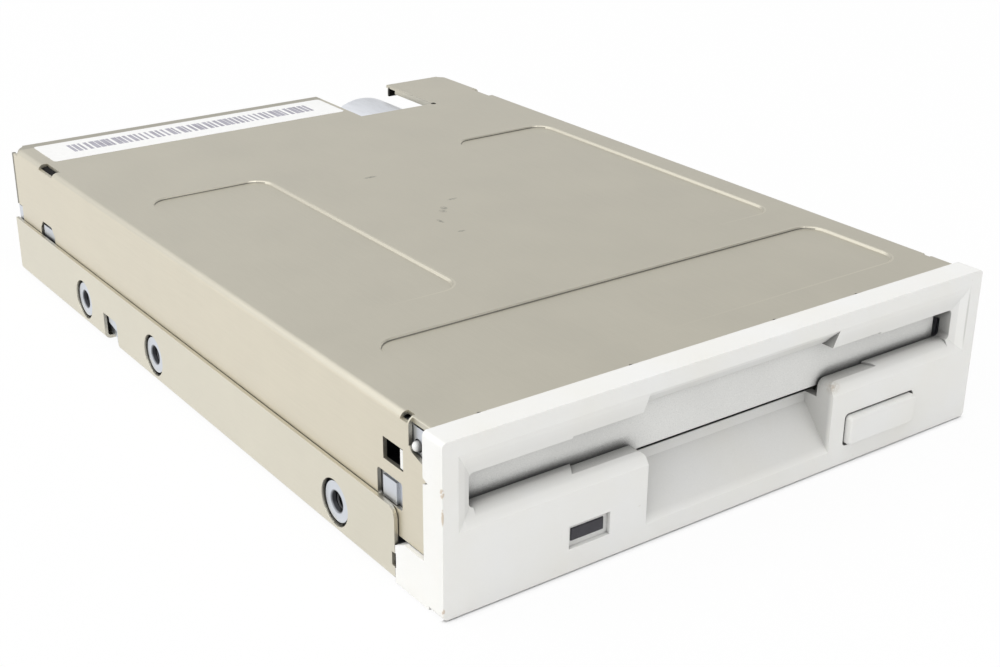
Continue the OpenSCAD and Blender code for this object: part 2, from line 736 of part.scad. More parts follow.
// Right side rail with its tapped bosses, tabs, studs and pin slots
module right_rail() {
  x = [chassis_in - cut, chassis_x + cut];
  color([0.72, 0.74, 0.78]) placed() difference() {
    union() {
      along_x(wall_outline(), [chassis_in, chassis_x]);
      for (y = side_holes) bar_x(y, side_hole_z, boss_r, [boss_face - side_hole_d, boss_face]);
      for (y = stud_ys) bar_x(y, stud_z, stud_r, [slide_in - 0.1, chassis_in + merge]);
      rail_tabs();
    }
    for (y = side_holes) side_thread(y);
    for (y = cam_ys)
      along_x([for (p = long_hole(carrier_fall, cam_pin_r + cam_gap)) [y + p[1], cam_z - carrier_fall + p[0]]], x);
    block(x, [snap_y[0] - 0.4, snap_y[1] + 0.6], snap_z + [-0.4, 0.4]);
    bar_x(dome_y, dome_z, dome_r + 0.15, x);
  }
}

// The left rail is its mirror image
module left_rail() {
  mirror([1, 0, 0]) right_rail();
}

// Tabs and lug that show through the cover and the shield
module rail_tabs() {
  block([chassis_x - merge, chassis_x + 0.45], [tab_y[0] + 1.8, tab_y[1] - 1], [tab_z[0] + 0.1, tab_z[1] - 0.8]);
  block([chassis_x - merge, chassis_x + 0.4], [clip_y[0] + 0.8, clip_y[1] - 0.8], [flange_z + 0.5, clip_z - 0.8]);
  block([chassis_x - merge, cover_x - 0.1], [body_depth - 2.3, body_depth - 0.3], [flange_z + 0.5, clip_z - 0.2]);
  along_x([[lug_y[0] + 0.4, chassis_z], [lug_y[0] + 1.8, chassis_z], [lug_y[0] + 1.8, lug_z - 2.4],
    [lug_y[1] - 0.9, lug_z - 1.7], [lug_y[1] - 0.9, lug_z - 0.3], [lug_y[0] + 0.4, lug_z - 0.3]],
    [chassis_x - merge, shield_in]);
}

// Tapped side hole with a countersink
module side_thread(y) {
  bar_x(y, side_hole_z, thread_r, [boss_face - side_hole_d - cut, boss_face + cut]);
  translate([boss_face - 0.6, y, side_hole_z]) rotate([0, 90, 0])
    cylinder(r1 = thread_r, r2 = thread_r + 0.5, h = 0.7);
}

// Bracket at the deck's rear end: low behind the guide rod, high behind the head motor
module motor_bracket() {
  y = [back_wall_y, can_front];
  color([0.72, 0.74, 0.78]) placed() difference() {
    union() {
      block([-chassis_in, chassis_in], y, [deck_z, deck_top]);
      block([rod_x - 5, screw_x - can_r], y, [deck_z, rod_z + bush_r + 0.6]);
      along_y([[screw_x - can_r - 1, chassis_z + 2.3], [screw_x - can_r - 1, screw_z + 4],
        [screw_x - 6, screw_z + can_r - 1], [screw_x + 6, screw_z + can_r - 1], [screw_x + can_r + 1, screw_z + 4],
        [chassis_in, screw_z + 2], [chassis_in, chassis_z + 2.3]], y);
      for (p = bracket_posts) bar_z(p[0], p[1], post_r, [pcb_top, deck_z + merge]);
    }
    bar_y(rod_x, rod_z, rod_r + seat_fit, y + [-cut, cut]);
    bar_y(screw_x, screw_z, pilot_r + fit_gap, y + [-cut, cut]);
    for (x = can_screws) bar_y(x, can_screw_z, post_bore_r, y + [-cut, cut]);
    for (p = bracket_posts) bar_z(p[0], p[1], post_bore_r, [pcb_z, deck_top - fit_gap]);
  }
}

// Posts on the rails that hold the slide plate's springs
module spring_posts() {
  color([0.72, 0.74, 0.78]) placed() both_sides() block([spring_x - spring_r - 0.4, chassis_in],
    [spring_front - 2, spring_front], [slide_top + 0.4, spring_z + spring_r]);
}

// Bezel: face with bevelled slot frame, finger scoop, lamp recess and button hole
module bezel() {
  color([0.93, 0.92, 0.9]) placed() difference() {
    union() {
      difference() {
        along_y(round_rect(-half_w, half_w, 0, body_h, bezel_r), [0, rim_d]);
        block([-half_w + rim_w, half_w - rim_w], [plate_t, rim_d + cut], [rim_w, body_h - rim_w]);
      }
      block([scoop_x0 - 1.5, scoop_x1 + 1.5], [plate_t - 0.1, scoop_d + scoop_wall], [1.4, ledge_z]);
      both_sides() bezel_side();
      lamp_sleeve();
    }
    slot_cuts();
    scoop_cut();
    thumb_cut();
    block(around(lamp_x, lamp_w / 2), [-cut, lamp_d], around(lamp_z, lamp_h / 2));
    block(around(lamp_x, window_w / 2), [-cut, plate_t + 3], around(lamp_z, window_h / 2));
    along_y(round_rect(button_x - button_w / 2 - button_gap, button_x + button_w / 2 + button_gap,
      button_z - button_h / 2 - button_gap, button_z + button_h / 2 + button_gap, button_r), [-cut, plate_t + cut]);
    both_sides() bar_x(hinge_y, hinge_z, hinge_pin_r + run_fit, [ear_x0 - cut, ear_x1 + cut]);
    both_sides() bezel_side_cuts();
    block_corner(scoop_x0, -1);
    block_corner(scoop_x1, 1);
  }
}

// Slot in the leg behind the shield's slot, and a nick in the rim's rear edge
module bezel_side_cuts() {
  block([half_w - 1.4, half_w + cut], [shield_front - 0.3, shield_front + 1.2], leg_slot_z + [-0.1, 0.1]);
  along_x([[rim_d - 1.1, rim_notch_z], [rim_d + 0.1, rim_notch_z + 0.5], [rim_d + 0.1, rim_notch_z - 0.5]],
    [half_w - rim_w - 0.1, half_w + cut]);
}

// Rounds the upper corner of the face beside the scoop
module block_corner(x, side) {
  top = slot_z0 - mid_step;
  outline = concat(arc([block_r, -block_r], block_r, 90, 180), [[-0.1, -block_r], [-0.1, cut], [block_r, cut]]);
  along_y([for (p = outline) [x + side * p[0], top + p[1]]], [-cut, plate_t + cut]);
}

// Right leg, hinge ear with its dome, and snap arm
module bezel_side() {
  along_x([[plate_t, 0], [plate_t, leg_z], [shield_front - 2.4, leg_z], [shield_front - 0.1, leg_z - 1.1],
    [shield_front - 0.1, 0]], [half_w - leg_t, half_w]);
  block([half_w - leg_t, shield_in - fit_gap], [shield_front - 0.2, shield_front + 3], [bend_r + 0.3, leg_z - 1.2]);
  along_x(concat([[plate_t - 0.1, hinge_z - 2.4], [hinge_y, hinge_z - 2.4]],
    arc([dome_y - 0.2, hinge_z - 0.4], 2, -90, 0), [[dome_y + 1.8, dome_z + 1], [plate_t - 0.1, dome_z + 1]]),
    [ear_x0, ear_x1]);
  bar_x(dome_y, dome_z, dome_r, [ear_x1 - 0.3, chassis_x + 0.1]);
  translate([chassis_x + 0.1, dome_y, dome_z]) scale(dome_r) difference() {
    sphere(1);
    translate([-2, -1, -1]) cube(2);
  }
  block([slot_half + 0.05, ear_x1], [plate_t - 0.1, snap_y[0] + 0.8], snap_z + [0.2, -0.2]);
  block([ear_x1 - 0.1, cover_x - 0.1], [snap_y[0] + 0.1, snap_y[0] + 0.8], snap_z + [0.2, -0.2]);

}

// Sleeve round the lamp window, behind the face
module lamp_sleeve() {
  block(around(lamp_x, window_w / 2 + 0.8), [plate_t - 0.1, plate_t + 2],
    around(lamp_z, window_h / 2 + 0.8));
}

// Slot with its bevelled frame and taller middle
module slot_cuts() {
  hull() {
    block([-frame_half, frame_half], [-0.01, 0], [frame_z0, frame_z1]);
    block([-slot_half, slot_half], [bevel_d, bevel_d + 0.01], [slot_z0, slot_z1]);
  }
  along_y(round_rect(-slot_half, slot_half, slot_z0, slot_z1, 0.7), [bevel_d - 0.2, plate_t + 0.5]);
  slot_sill();
  hull() {
    block([-mid_half - 2, mid_half + 2], [bevel_d - 0.8, bevel_d - 0.79], [slot_z0 - mid_step, slot_z1 + mid_step]);
    block([-mid_half, mid_half], [plate_t + 0.5, plate_t + 0.51], [slot_z0 - mid_step, slot_z1 + mid_step]);
  }
}

// Round crest between the frame's lower bevel and the slot's floor
module slot_sill() {
  lean = atan2(slot_z0 - frame_z0, bevel_d);
  run = sill_r * tan(lean / 2);
  crest = arc([bevel_d + run, slot_z0 - sill_r], sill_r, 90, 90 + lean);
  foot = slot_z0 - sill_r + sill_r * cos(lean);
  along_x(concat(crest, [[0, foot], [0, slot_z0 + 0.3], [bevel_d + run, slot_z0 + 0.3]]), around(0, slot_half - 0.7));
}

// Finger scoop: a ramp up to the wall behind it, open to the slot above
module scoop_cut() {
  rise = (scoop_back_z - scoop_front_z) / scoop_d;
  along_x([[-cut, scoop_front_z - rise * cut], [scoop_d, scoop_back_z], [scoop_d, slot_z0 + 1], [-cut, slot_z0 + 1]],
    [scoop_x0, scoop_x1]);
}

// Thumb relief in the upper lip
module thumb_cut() {
  along_x([[-0.01, frame_z1 - 0.1], [thumb_d, thumb_z], [plate_t + 0.5, thumb_z], [plate_t + 0.5, slot_z0 + 2],
    [-0.01, slot_z0 + 2]], [scoop_x0 - 0.3, scoop_x1 + 0.1]);
}

// Slot door: a flap under a hinge barrel, with pins in the bezel's ears
module door_flap() {
  color([0.8, 0.8, 0.8]) placed() {
    difference() {
      union() {
        along_x([[door_front, door_z0 + 0.3], [door_front + 0.3, door_z0], [door_front + door_t, door_z0],
          [door_front + door_t, hinge_z], [door_front, hinge_z]], [-door_half, door_half]);
        bar_x(hinge_y, hinge_z, barrel_r, [-door_half, door_half]);
      }
      block(around(door_spring_x, 3), [door_front - cut, hinge_y + 2], [hinge_z - 2, hinge_z + 2]);
    }
    bar_x(hinge_y, hinge_z, hinge_pin_r, [-ear_x1 + 0.1, ear_x1 - 0.1]);
  }
}

// Closing spring wound on the door's hinge pin, with a leg on the flap
module door_spring() {
  color([0.6, 0.6, 0.62]) placed() {
    difference() {
      bar_x(hinge_y, hinge_z, barrel_r, around(door_spring_x, 2.6));
      bar_x(hinge_y, hinge_z, hinge_pin_r + 0.05, around(door_spring_x, 3));
    }
    bar_z(door_spring_x - 2, door_front + door_t + 0.3, 0.25, [hinge_z - 5, hinge_z - 1.1]);
  }
}

// Eject button with round corners and a stem back to the slide plate
module eject_button() {
  x = around(button_x, button_w / 2);
  z = around(button_z, button_h / 2);
  color([0.93, 0.92, 0.9]) placed() {
    hull() {
      for (s = [[0.5, 0], [0.15, 0.2], [0, 0.6]])
        along_y(round_rect(x[0] + s[0], x[1] - s[0], z[0] + s[0], z[1] - s[0], button_r), [s[1] - button_proud, 0]);
    }
    along_y(round_rect(x[0], x[1], z[0], z[1], button_r), [0, plate_t + 4]);
    block(around(button_x, stem_w / 2), [plate_t + 4 - merge, foot_y[1] + 0.5], [stem_z, foot_z]);
    bar_z(button_x, (foot_y[0] + foot_y[1]) / 2, foot_peg_r, [foot_z, foot_z + sheet_t + 0.8]);
  }
}

// Slide plate: front bar, side strips, walls with slanted cam slots, and a foot for the button's stem
module slide_plate() {
  color([0.75, 0.75, 0.72]) placed() difference() {
    union() {
      difference() {
        along_z(round_rect(-slide_out, slide_out, slide_front, slide_rear, 1), [slide_z, slide_top]);
        block(around(0, slide_out - strip_w), [slide_front + front_bar, slide_rear + cut],
          [slide_z - cut, slide_top + cut]);
      }
      both_sides() along_x([[slide_front, slide_z + 0.1], [slide_front, slide_z - 2], [slide_front + 6, slide_low],
        [slide_rear, slide_low], [slide_rear, slide_z + 0.1]], [slide_in, slide_out]);
      both_sides() block(around(spring_x, spring_r + 0.2), [spring_rear, spring_rear + sheet_t],
        [slide_top - 0.1, spring_z + spring_r]);
      block([slide_in, slide_out], foot_y, [foot_z, slide_low + 0.1]);
      block([button_x - stem_w / 2, slide_out], foot_y, [foot_z, foot_z + sheet_t]);
    }
    both_sides() slide_slots();
    bar_z(button_x, (foot_y[0] + foot_y[1]) / 2, foot_peg_r + fit_gap, [foot_z - cut, foot_z + sheet_t + cut]);
  }
}

// Slanted cam slots and level guide slots in the slide plate's right wall
module slide_slots() {
  slant = atan2(-carrier_fall, slide_travel);
  run = sqrt(slide_travel * slide_travel + carrier_fall * carrier_fall);
  for (y = cam_ys) translate([0, y, cam_z]) rotate([slant, 0, 0])
    along_x(long_hole(run, cam_pin_r + cam_gap), [slide_in - cut, slide_out + cut]);
  for (y = stud_ys) translate([0, y, stud_z])
    along_x(long_hole(slide_travel, stud_r + cam_gap), [slide_in - cut, slide_out + cut]);
}

// Pull springs of the slide plate, drawn out at rest
module slide_springs() {
  color([0.55, 0.55, 0.58]) placed() both_sides() bar_y(spring_x, spring_z, spring_r, [spring_front, spring_rear]);
}

// Disk carrier: top plate, side walls and inward rails
module disk_carrier() {
  color([0.78, 0.78, 0.75]) placed() difference() {
    union() {
      along_z(round_rect(-carrier_out, carrier_out, carrier_front, carrier_rear, 1), [bay_top, carrier_top]);
      both_sides() block([carrier_in, carrier_out], [carrier_front, carrier_rear],
        [bay_z - sheet_t, carrier_top - 0.1]);
      both_sides() along_z([[carrier_in - rail_w, carrier_front + 4], [carrier_in - rail_w + 2, carrier_front],
        [carrier_out, carrier_front], [carrier_out, carrier_rear], [carrier_in - rail_w, carrier_rear]],
        [bay_z - sheet_t, bay_z]);
    }
    along_z(round_rect(-window_half, window_half, track0_y - head_travel - 8, carrier_rear + 9, 2),
      [bay_top - cut, carrier_top + cut]);
    bar_z(0, spindle_y, hub_r + 2.5, [bay_top - cut, carrier_top + cut]);
    along_z(round_rect(-26, 26, carrier_front + 8, carrier_front + 20, 3), [bay_top - cut, carrier_top + cut]);
    lever_arc_cut();
    bar_z(lever_x, lever_y, lever_foot_r, [bay_top - cut, carrier_top + cut]);
  }
}

// Arc slot in the carrier for the lever's finger
module lever_arc_cut() {
  w = finger_r + 0.5;
  a0 = lever_rest - 4;
  a1 = lever_rest + lever_swing + 4;
  c = [lever_x, lever_y];
  along_z(concat(arc(c, lever_reach + w, a0, a1, 10), arc(c, lever_reach - w, a1, a0, 10)),
    [bay_top - cut, carrier_top + cut]);
}

// Cam pins riveted to the carrier's sides
module carrier_pins() {
  color([0.6, 0.6, 0.6]) placed() both_sides()
    for (y = cam_ys) bar_x(y, cam_z, cam_pin_r, [carrier_out, chassis_x - 0.4]);
}

// Lever that pushes the disk's shutter aside, with a finger down into the bay
module shutter_lever() {
  color([0.7, 0.7, 0.68]) placed() translate([lever_x, lever_y, 0]) rotate([0, 0, lever_rest]) difference() {
    union() {
      along_z(concat(arc([0, 0], 4, 60, 300, 12), [[lever_reach - 3, -2]], arc([lever_reach, 0], 2.2, -60, 60, 8),
        [[lever_reach - 3, 2]]), [lever_z, lever_z + lever_t]);
      bar_z(lever_reach, 0, finger_r, [bay_z + 0.8, lever_z + 0.2]);
    }
    bar_z(0, 0, lever_pin_r + run_fit, [lever_z - cut, lever_z + lever_t + cut]);
  }
}

// Pivot rivet of the lever
module lever_pin() {
  top = lever_z + lever_t + lever_coil_h + 0.3;
  color([0.6, 0.6, 0.6]) placed() {
    bar_z(lever_x, lever_y, lever_foot_r, [bay_top + fit_gap, carrier_top + 0.01]);
    bar_z(lever_x, lever_y, lever_pin_r, [carrier_top, top]);
    bar_z(lever_x, lever_y, lever_pin_r + 1.2, [top - 0.01, top + sheet_t]);
  }
}

// Torsion spring wound round the lever's rivet
module lever_spring() {
  z = [lever_z + lever_t + 0.1, lever_z + lever_t + 0.1 + lever_coil_h];
  color([0.55, 0.55, 0.58]) placed() difference() {
    union() {
      bar_z(lever_x, lever_y, lever_pin_r + 1, z);
      bar_y(lever_x - lever_pin_r - 0.7, z[1] - 0.3, 0.25, [lever_y - 9, lever_y]);
    }
    bar_z(lever_x, lever_y, lever_pin_r, [z[0] - cut, z[1] + cut]);
  }
}

// Clear window in front of the lamp
module led_window() {
  x = around(lamp_x, window_w / 2);
  z = around(lamp_z, window_h / 2);
  color([0.27, 0.26, 0.3]) placed() {
    block(x, [lamp_d - 0.2, plate_t + 2], z);
    block(x - [0.6, -0.6], [plate_t + 2, plate_t + 2.6], z - [0.6, -0.6]);
  }
}

// Lamp lying behind the window, in a holder on the front board
module led() {
  y = plate_t + 3;
  color([0.3, 0.75, 0.3]) placed() {
    bar_y(lamp_x, lamp_z, led_r, [y, y + 3.2]);
    block(around(lamp_x, led_r + 0.6), [y + 3, y + 5.5], [fboard_z + fboard_t, lamp_z + led_r + 0.4]);
  }
}

// Front board with holes for its two screws
module front_board() {
  color([0.1, 0.35, 0.2]) placed() difference() {
    block([-fboard_half, fboard_half], fboard_y, [fboard_z, fboard_z + fboard_t]);
    for (p = fboard_screws) bar_z(p[0], p[1], post_bore_r + fit_gap, [fboard_z - cut, fboard_z + fboard_t + cut]);
  }
}

// Body of a switch on the front board, with a bore for its plunger
module switch_body(x) {
  color([0.12, 0.12, 0.13]) placed() difference() {
    block(around(x, switch_w / 2), around(switch_y, switch_w / 2),
      [fboard_z + fboard_t, switch_z]);
    bar_z(x, switch_y, plunger_r + run_fit, [plunger_foot, switch_z + cut]);
  }
}

// Plunger of a switch
module switch_plunger(x) {
  color([0.9, 0.9, 0.88]) placed()
    bar_z(x, switch_y, plunger_r, [plunger_foot + plunger_travel + 0.3, bay_z - 1]);
}

// Switches for write protection, disk density and an inserted disk
module write_protect_switch() {
  switch_body(plunger_x);
}
module write_protect_plunger() {
  switch_plunger(plunger_x);
}
module density_switch() {
  switch_body(-plunger_x);
}
module density_plunger() {
  switch_plunger(-plunger_x);
}
module disk_switch() {
  switch_body(-disk_switch_x);
}
module disk_plunger() {
  switch_plunger(-disk_switch_x);
}

// Board of the spindle motor, hung under the deck
module motor_board() {
  color([0.15, 0.3, 0.45]) placed() difference() {
    block([-mboard_half, mboard_half], mboard_y, [mboard_z, mboard_z + mboard_t]);
    bar_z(0, spindle_y, bearing_r, [mboard_z - cut, mboard_z + mboard_t + cut]);
    for (p = mboard_posts) bar_z(p[0], p[1], post_bore_r + fit_gap, [mboard_z - cut, mboard_z + mboard_t + cut]);
  }
}

// Bearing sleeve of the spindle, with a flange on the motor board
module spindle_bearing() {
  color([0.7, 0.6, 0.35]) placed() difference() {
    union() {
      bar_z(0, spindle_y, bearing_r, [bearing_z, bearing_top]);
      bar_z(0, spindle_y, core_bore_r, [mboard_z + mboard_t, core_z[0]]);
    }
    bar_z(0, spindle_y, shaft_r + run_fit, [bearing_z + 0.5, bearing_top + cut]);
  }
}

// Stator core: a ring on the bearing with twelve teeth
module stator_core() {
  color([0.45, 0.45, 0.48]) placed() translate([0, spindle_y, 0]) difference() {
    union() {
      bar_z(0, 0, core_ring_r, core_z);
      for (i = [0 : 11]) rotate([0, 0, i * 30]) {
        block([core_ring_r - 1, core_r - 1], [-0.9, 0.9], core_z);
        along_z([[core_r - 1.6, -0.9], [core_r - 0.8, -3.4], [core_r, -3.4], [core_r, 3.4], [core_r - 0.8, 3.4],
          [core_r - 1.6, 0.9]], core_z);
      }
    }
    bar_z(0, 0, bearing_r, core_z + [-cut, cut]);
  }
}

// Windings round the stator's teeth
module stator_coils() {
  color([0.72, 0.4, 0.2]) placed() translate([0, spindle_y, 0])
    for (i = [0 : 11]) rotate([0, 0, i * 30]) difference() {
      block([coil_x[0], coil_x[1]], [-coil_half, coil_half], core_z + [-0.5, 0.5]);
      block(coil_x + [-cut, cut], [-0.9, 0.9], core_z);
    }
}

// Spindle shaft with its rounded centring tip
module spindle_shaft() {
  color([0.8, 0.8, 0.82]) placed() {
    bar_z(0, spindle_y, shaft_r, [bearing_z + 0.7, shaft_top - 0.6]);
    translate([0, spindle_y, shaft_top - 0.6]) cylinder(r1 = shaft_r, r2 = shaft_r - 0.6, h = 0.6);
  }
}

// Rotor cup over the stator
module spindle_rotor() {
  color([0.68, 0.68, 0.7]) placed() difference() {
    bar_z(0, spindle_y, rotor_r, [mboard_z + mboard_t + 0.6, rotor_z]);
    bar_z(0, spindle_y, rotor_r - 1, [mboard_z, rotor_z - 1]);
    bar_z(0, spindle_y, shaft_r, [mboard_z, rotor_z + cut]);
  }
}

// Ring magnet in the rotor cup
module rotor_magnet() {
  color([0.2, 0.2, 0.2]) placed() difference() {
    bar_z(0, spindle_y, rotor_r - 1, [mboard_z + mboard_t + 0.8, rotor_z - 1]);
    bar_z(0, spindle_y, core_r + 0.5, [mboard_z, rotor_z]);
  }
}

// Hub table that carries the disk's metal hub
module spindle_hub() {
  color([0.85, 0.83, 0.75]) placed() difference() {
    union() {
      bar_z(0, spindle_y, hub_r, [rotor_z, hub_z]);
      bar_z(0, spindle_y, shaft_r + 1.6, [hub_z - 0.1, hub_z + 0.5]);
    }
    bar_z(0, spindle_y, shaft_r, [rotor_z - cut, hub_z + cut]);
    bar_z(drive_x, spindle_y, drive_r, [rotor_z - cut, hub_z + cut]);
    for (a = [60 : 60 : 300]) translate([0, spindle_y, 0]) rotate([0, 0, a])
      bar_z(drive_x, 0, 2, [hub_z - 0.6, hub_z + cut]);
  }
}

// Pin that takes the disk's hub along
module drive_pin() {
  color([0.6, 0.6, 0.62]) placed() bar_z(drive_x, spindle_y, drive_r, [rotor_z, hub_z + 1.2]);
}

// Main board behind the spindle, wider at the rear
module main_board() {
  color([0.1, 0.35, 0.2]) placed() difference() {
    along_z([[-pcb_narrow, pcb_front], [pcb_x1, pcb_front], [pcb_x1, pcb_rear], [-pcb_wide, pcb_rear],
      [-pcb_wide, pcb_step_y + 2], [-pcb_narrow, pcb_step_y]], [pcb_z, pcb_top]);
    for (p = pcb_posts) bar_z(p[0], p[1], post_bore_r + fit_gap, [pcb_z - cut, pcb_top + cut]);
  }
}

// Chips and small parts on the main board
module board_chips() {
  color([0.12, 0.12, 0.13]) placed() {
    for (c = chips) block([c[0], c[0] + c[2]], [c[1], c[1] + c[3]], [pcb_top, pcb_top + c[4]]);
  }
}

// Data connector: an open box with a key slot
module data_connector() {
  color([0.13, 0.13, 0.14]) placed() difference() {
    block(data_x, [conn_front, conn_rear], [pcb_top, data_z1]);
    block(data_x + [1, -1], [conn_front + 2, conn_rear + cut], [pcb_top + 1.2, data_z1 - 1]);
    block(around(data_mid, 2.2), [conn_front + 4, conn_rear + cut], [data_z1 - 2, data_z1 + cut]);
    for (p = data_grid) block(around(p[0], pin_half), [conn_front - cut, conn_front + 3], around(p[1], pin_half));
  }
}

// Pins of the data connector, bent down to the main board behind it
module data_pins() {
  color([0.85, 0.72, 0.35]) placed() for (p = data_grid) bent_pin(p[0], p[1], conn_front - 0.8 - p[2] * 1.8);
}

// Square pin from the board up and back into a connector
module bent_pin(x, z, y) {
  block(around(x, pin_half), [y, conn_rear - 1.5], around(z, pin_half));
  block(around(x, pin_half), [y, y + 2 * pin_half], [pcb_top, z]);
}

// Power connector: a shell with a stepped shroud
module power_connector() {
  color([0.9, 0.88, 0.82]) placed() difference() {
    block(power_x, [conn_front, conn_rear], [pcb_top, power_z1]);
    block(power_x + [0.9, -0.9], [conn_front + 2, conn_rear + cut], [pcb_top + 1, power_z1 - 0.9]);
    block(power_x + [2.4, -2.4], [conn_front + 5, conn_rear + cut], [power_z1 - 2, power_z1 + cut]);
    for (p = power_grid) block(around(p[0], pin_half), [conn_front - cut, conn_front + 3], around(p[1], pin_half));
  }
}

// Pins of the power connector
module power_pins() {
  color([0.8, 0.8, 0.82]) placed() for (p = power_grid) bent_pin(p[0], p[1], conn_front - 0.8);
}

// Head motor: can with a front flange, a pilot in the back wall and a bore for the lead screw
module stepper_motor() {
  color([0.78, 0.8, 0.82]) placed() difference() {
    union() {
      bar_y(screw_x, screw_z, can_r, [can_front, can_rear - 0.6]);
      bar_y(screw_x, screw_z, can_r - 0.5, [can_rear - 0.7, can_rear]);
      bar_y(screw_x, screw_z, pilot_r, [back_wall_y + 0.4, can_front + 0.1]);
    }
    bar_y(screw_x, screw_z, journal_r + run_fit, [back_wall_y - cut, can_front + 9]);
    bar_y(screw_x, screw_z, 3.2, [can_rear - 0.5, can_rear + cut]);
    for (x = can_screws) bar_y(x, can_screw_z, post_bore_r, [can_front - cut, can_front + 4]);
  }
}

// Lead screw of the head motor with thin ends
module lead_screw() {
  color([0.75, 0.75, 0.77]) placed() {
    bar_y(screw_x, screw_z, screw_r, [bearing_y[1] + 0.3, back_wall_y - 0.3]);
    bar_y(screw_x, screw_z, journal_r, [bearing_y[0] + 0.6, can_front + 8.5]);
  }
}

// Bracket on the deck for the lead screw's front end
module screw_bearing() {
  color([0.7, 0.7, 0.7]) placed() difference() {
    union() {
      along_y([[screw_x - 3.5, screw_z - 3], [screw_x + 3.5, screw_z - 3], [well_x1 + 1, deck_top],
        [well_x1 + 7, deck_top], [well_x1 + 7, deck_top + 2], [screw_x + 3.5, screw_z + 3],
        [screw_x - 3.5, screw_z + 3]], bearing_y);
      block([well_x1 + 1, well_x1 + 7], [bearing_y[0], bearing_y[1] + 4], [deck_top, deck_top + 1.5]);
    }
    bar_y(screw_x, screw_z, journal_r + run_fit, [bearing_y[0] + 0.4, bearing_y[1] + cut]);
  }
}

// Guide rod of the head carriage
module guide_rod() {
  color([0.82, 0.82, 0.84]) placed() bar_y(rod_x, rod_z, rod_r, [well_y - 5.5, can_front - 0.2]);
}

// Clamps over the guide rod's ends
module rod_clamps() {
  color([0.72, 0.72, 0.74]) placed() {
    block(around(rod_x, 4), [well_y - 5, well_y - 1.5], [seat_z, seat_z + 0.5]);
    block(around(rod_x, 5), [can_front, can_front + 0.8], [deck_top, rod_z + bush_r]);
  }
}

// Head carriage: web across the drive, bush on the rod, follower on the screw, lower arm and arm posts
module head_carriage() {
  y = [web_y, web_y + web_d];
  color([0.35, 0.35, 0.37]) placed() difference() {
    union() {
      block([rod_x, post_x[1]], y, [lower_arm_z[0] - 1.6, media_z]);
      bar_y(rod_x, rod_z, bush_r, [web_y - 3, y[1]]);
      block([post_x[1] - 1, screw_x + 3.2], [y[1] - nut_d, y[1]], [screw_z - 2.6, screw_z + 2.9]);
      block([-arm_half - 1, arm_half + 1], [track0_y - 5.5, web_y + 1], lower_arm_z);
      both_sides() block(post_x, around(arm_y, 2), [media_z - 1, arm_z + 1.8]);
      block([flag_x, rod_x], [web_y + 0.6, web_y + 1.6], [rod_z + 0.2, rod_z + 0.9]);
    }
    bar_y(rod_x, rod_z, rod_r + run_fit, [web_y - 4, y[1] + cut]);
    bar_y(screw_x, screw_z, screw_r + 0.3, [web_y, y[1] + cut]);
    both_sides() bar_x(arm_y, arm_z, arm_pin_r, [post_x[0] - cut, post_x[1] + cut]);
  }
}

// Outline of a head's polished face
function head_outline() = round_rect(
  0.7 - head_w / 2, head_w / 2 - 0.7, track0_y + 0.7 - head_w / 2, track0_y + head_w / 2 - 0.7, 0.6);

// Lower head on the carriage's arm
module lower_head() {
  color([0.3, 0.3, 0.32]) placed() {
    block(around(0, head_w / 2), around(track0_y, head_w / 2), [lower_arm_z[1], media_z - head_gap / 2 - 0.8]);
    along_z(head_outline(), [media_z - head_gap / 2 - 0.8, media_z - head_gap / 2]);
  }
}

// Turns the upper arm up about its pin
module arm_raised() {
  translate([0, arm_y, arm_z]) rotate([-arm_lift, 0, 0]) translate([0, -arm_y, -arm_z]) children();
}

// Upper arm over the disk, with two knuckles on the pin
module upper_arm() {
  color([0.6, 0.6, 0.62]) placed() arm_raised() difference() {
    union() {
      block([-arm_half, arm_half], [track0_y - 5.5, arm_y - 3], arm_plate_z);
      both_sides() block([arm_half - 3, arm_half], [arm_y - 4, arm_y], [arm_plate_z[0], arm_z + 1.2]);
      both_sides() bar_x(arm_y, arm_z, 1.9, [arm_half - 3, arm_half]);
    }
    both_sides() bar_x(arm_y, arm_z, arm_pin_r + run_fit, [arm_half - 3 - cut, arm_half + cut]);
  }
}

// Upper head under the upper arm
module upper_head() {
  z0 = media_z + head_gap / 2;
  color([0.3, 0.3, 0.32]) placed() arm_raised() {
    block(around(0, head_w / 2), around(track0_y, head_w / 2), [z0 + 0.8, arm_plate_z[0]]);
    along_z(head_outline(), [z0, z0 + 0.8]);
  }
}

// Pin of the upper arm
module arm_pin() {
  color([0.75, 0.75, 0.77]) placed() bar_x(arm_y, arm_z, arm_pin_r, [-post_x[1], post_x[1]]);
}

// Torsion spring on the upper arm's pin
module arm_spring() {
  color([0.55, 0.55, 0.58]) placed() difference() {
    bar_x(arm_y, arm_z, arm_pin_r + 0.9, [-arm_half + 3.5, arm_half - 3.5]);
    bar_x(arm_y, arm_z, arm_pin_r, [-arm_half, arm_half]);
  }
}

// Sensor for the outermost track: a fork round the carriage's flag
module track_sensor() {
  color([0.12, 0.12, 0.13]) placed() difference() {
    block([flag_x - 4.5, flag_x + 2.5], around(web_y, 3), [deck_top, rod_z + 3]);
    block([flag_x - 1, flag_x + 3], around(web_y, 4), [rod_z - 0.6, rod_z + 1.7]);
  }
}

// Screw from below with a flat head
module screw_up(p, z, len) {
  bar_z(p[0], p[1], screw_head_r, [z - screw_head_h, z]);
  bar_z(p[0], p[1], post_bore_r, [z - 0.01, z + len]);
}

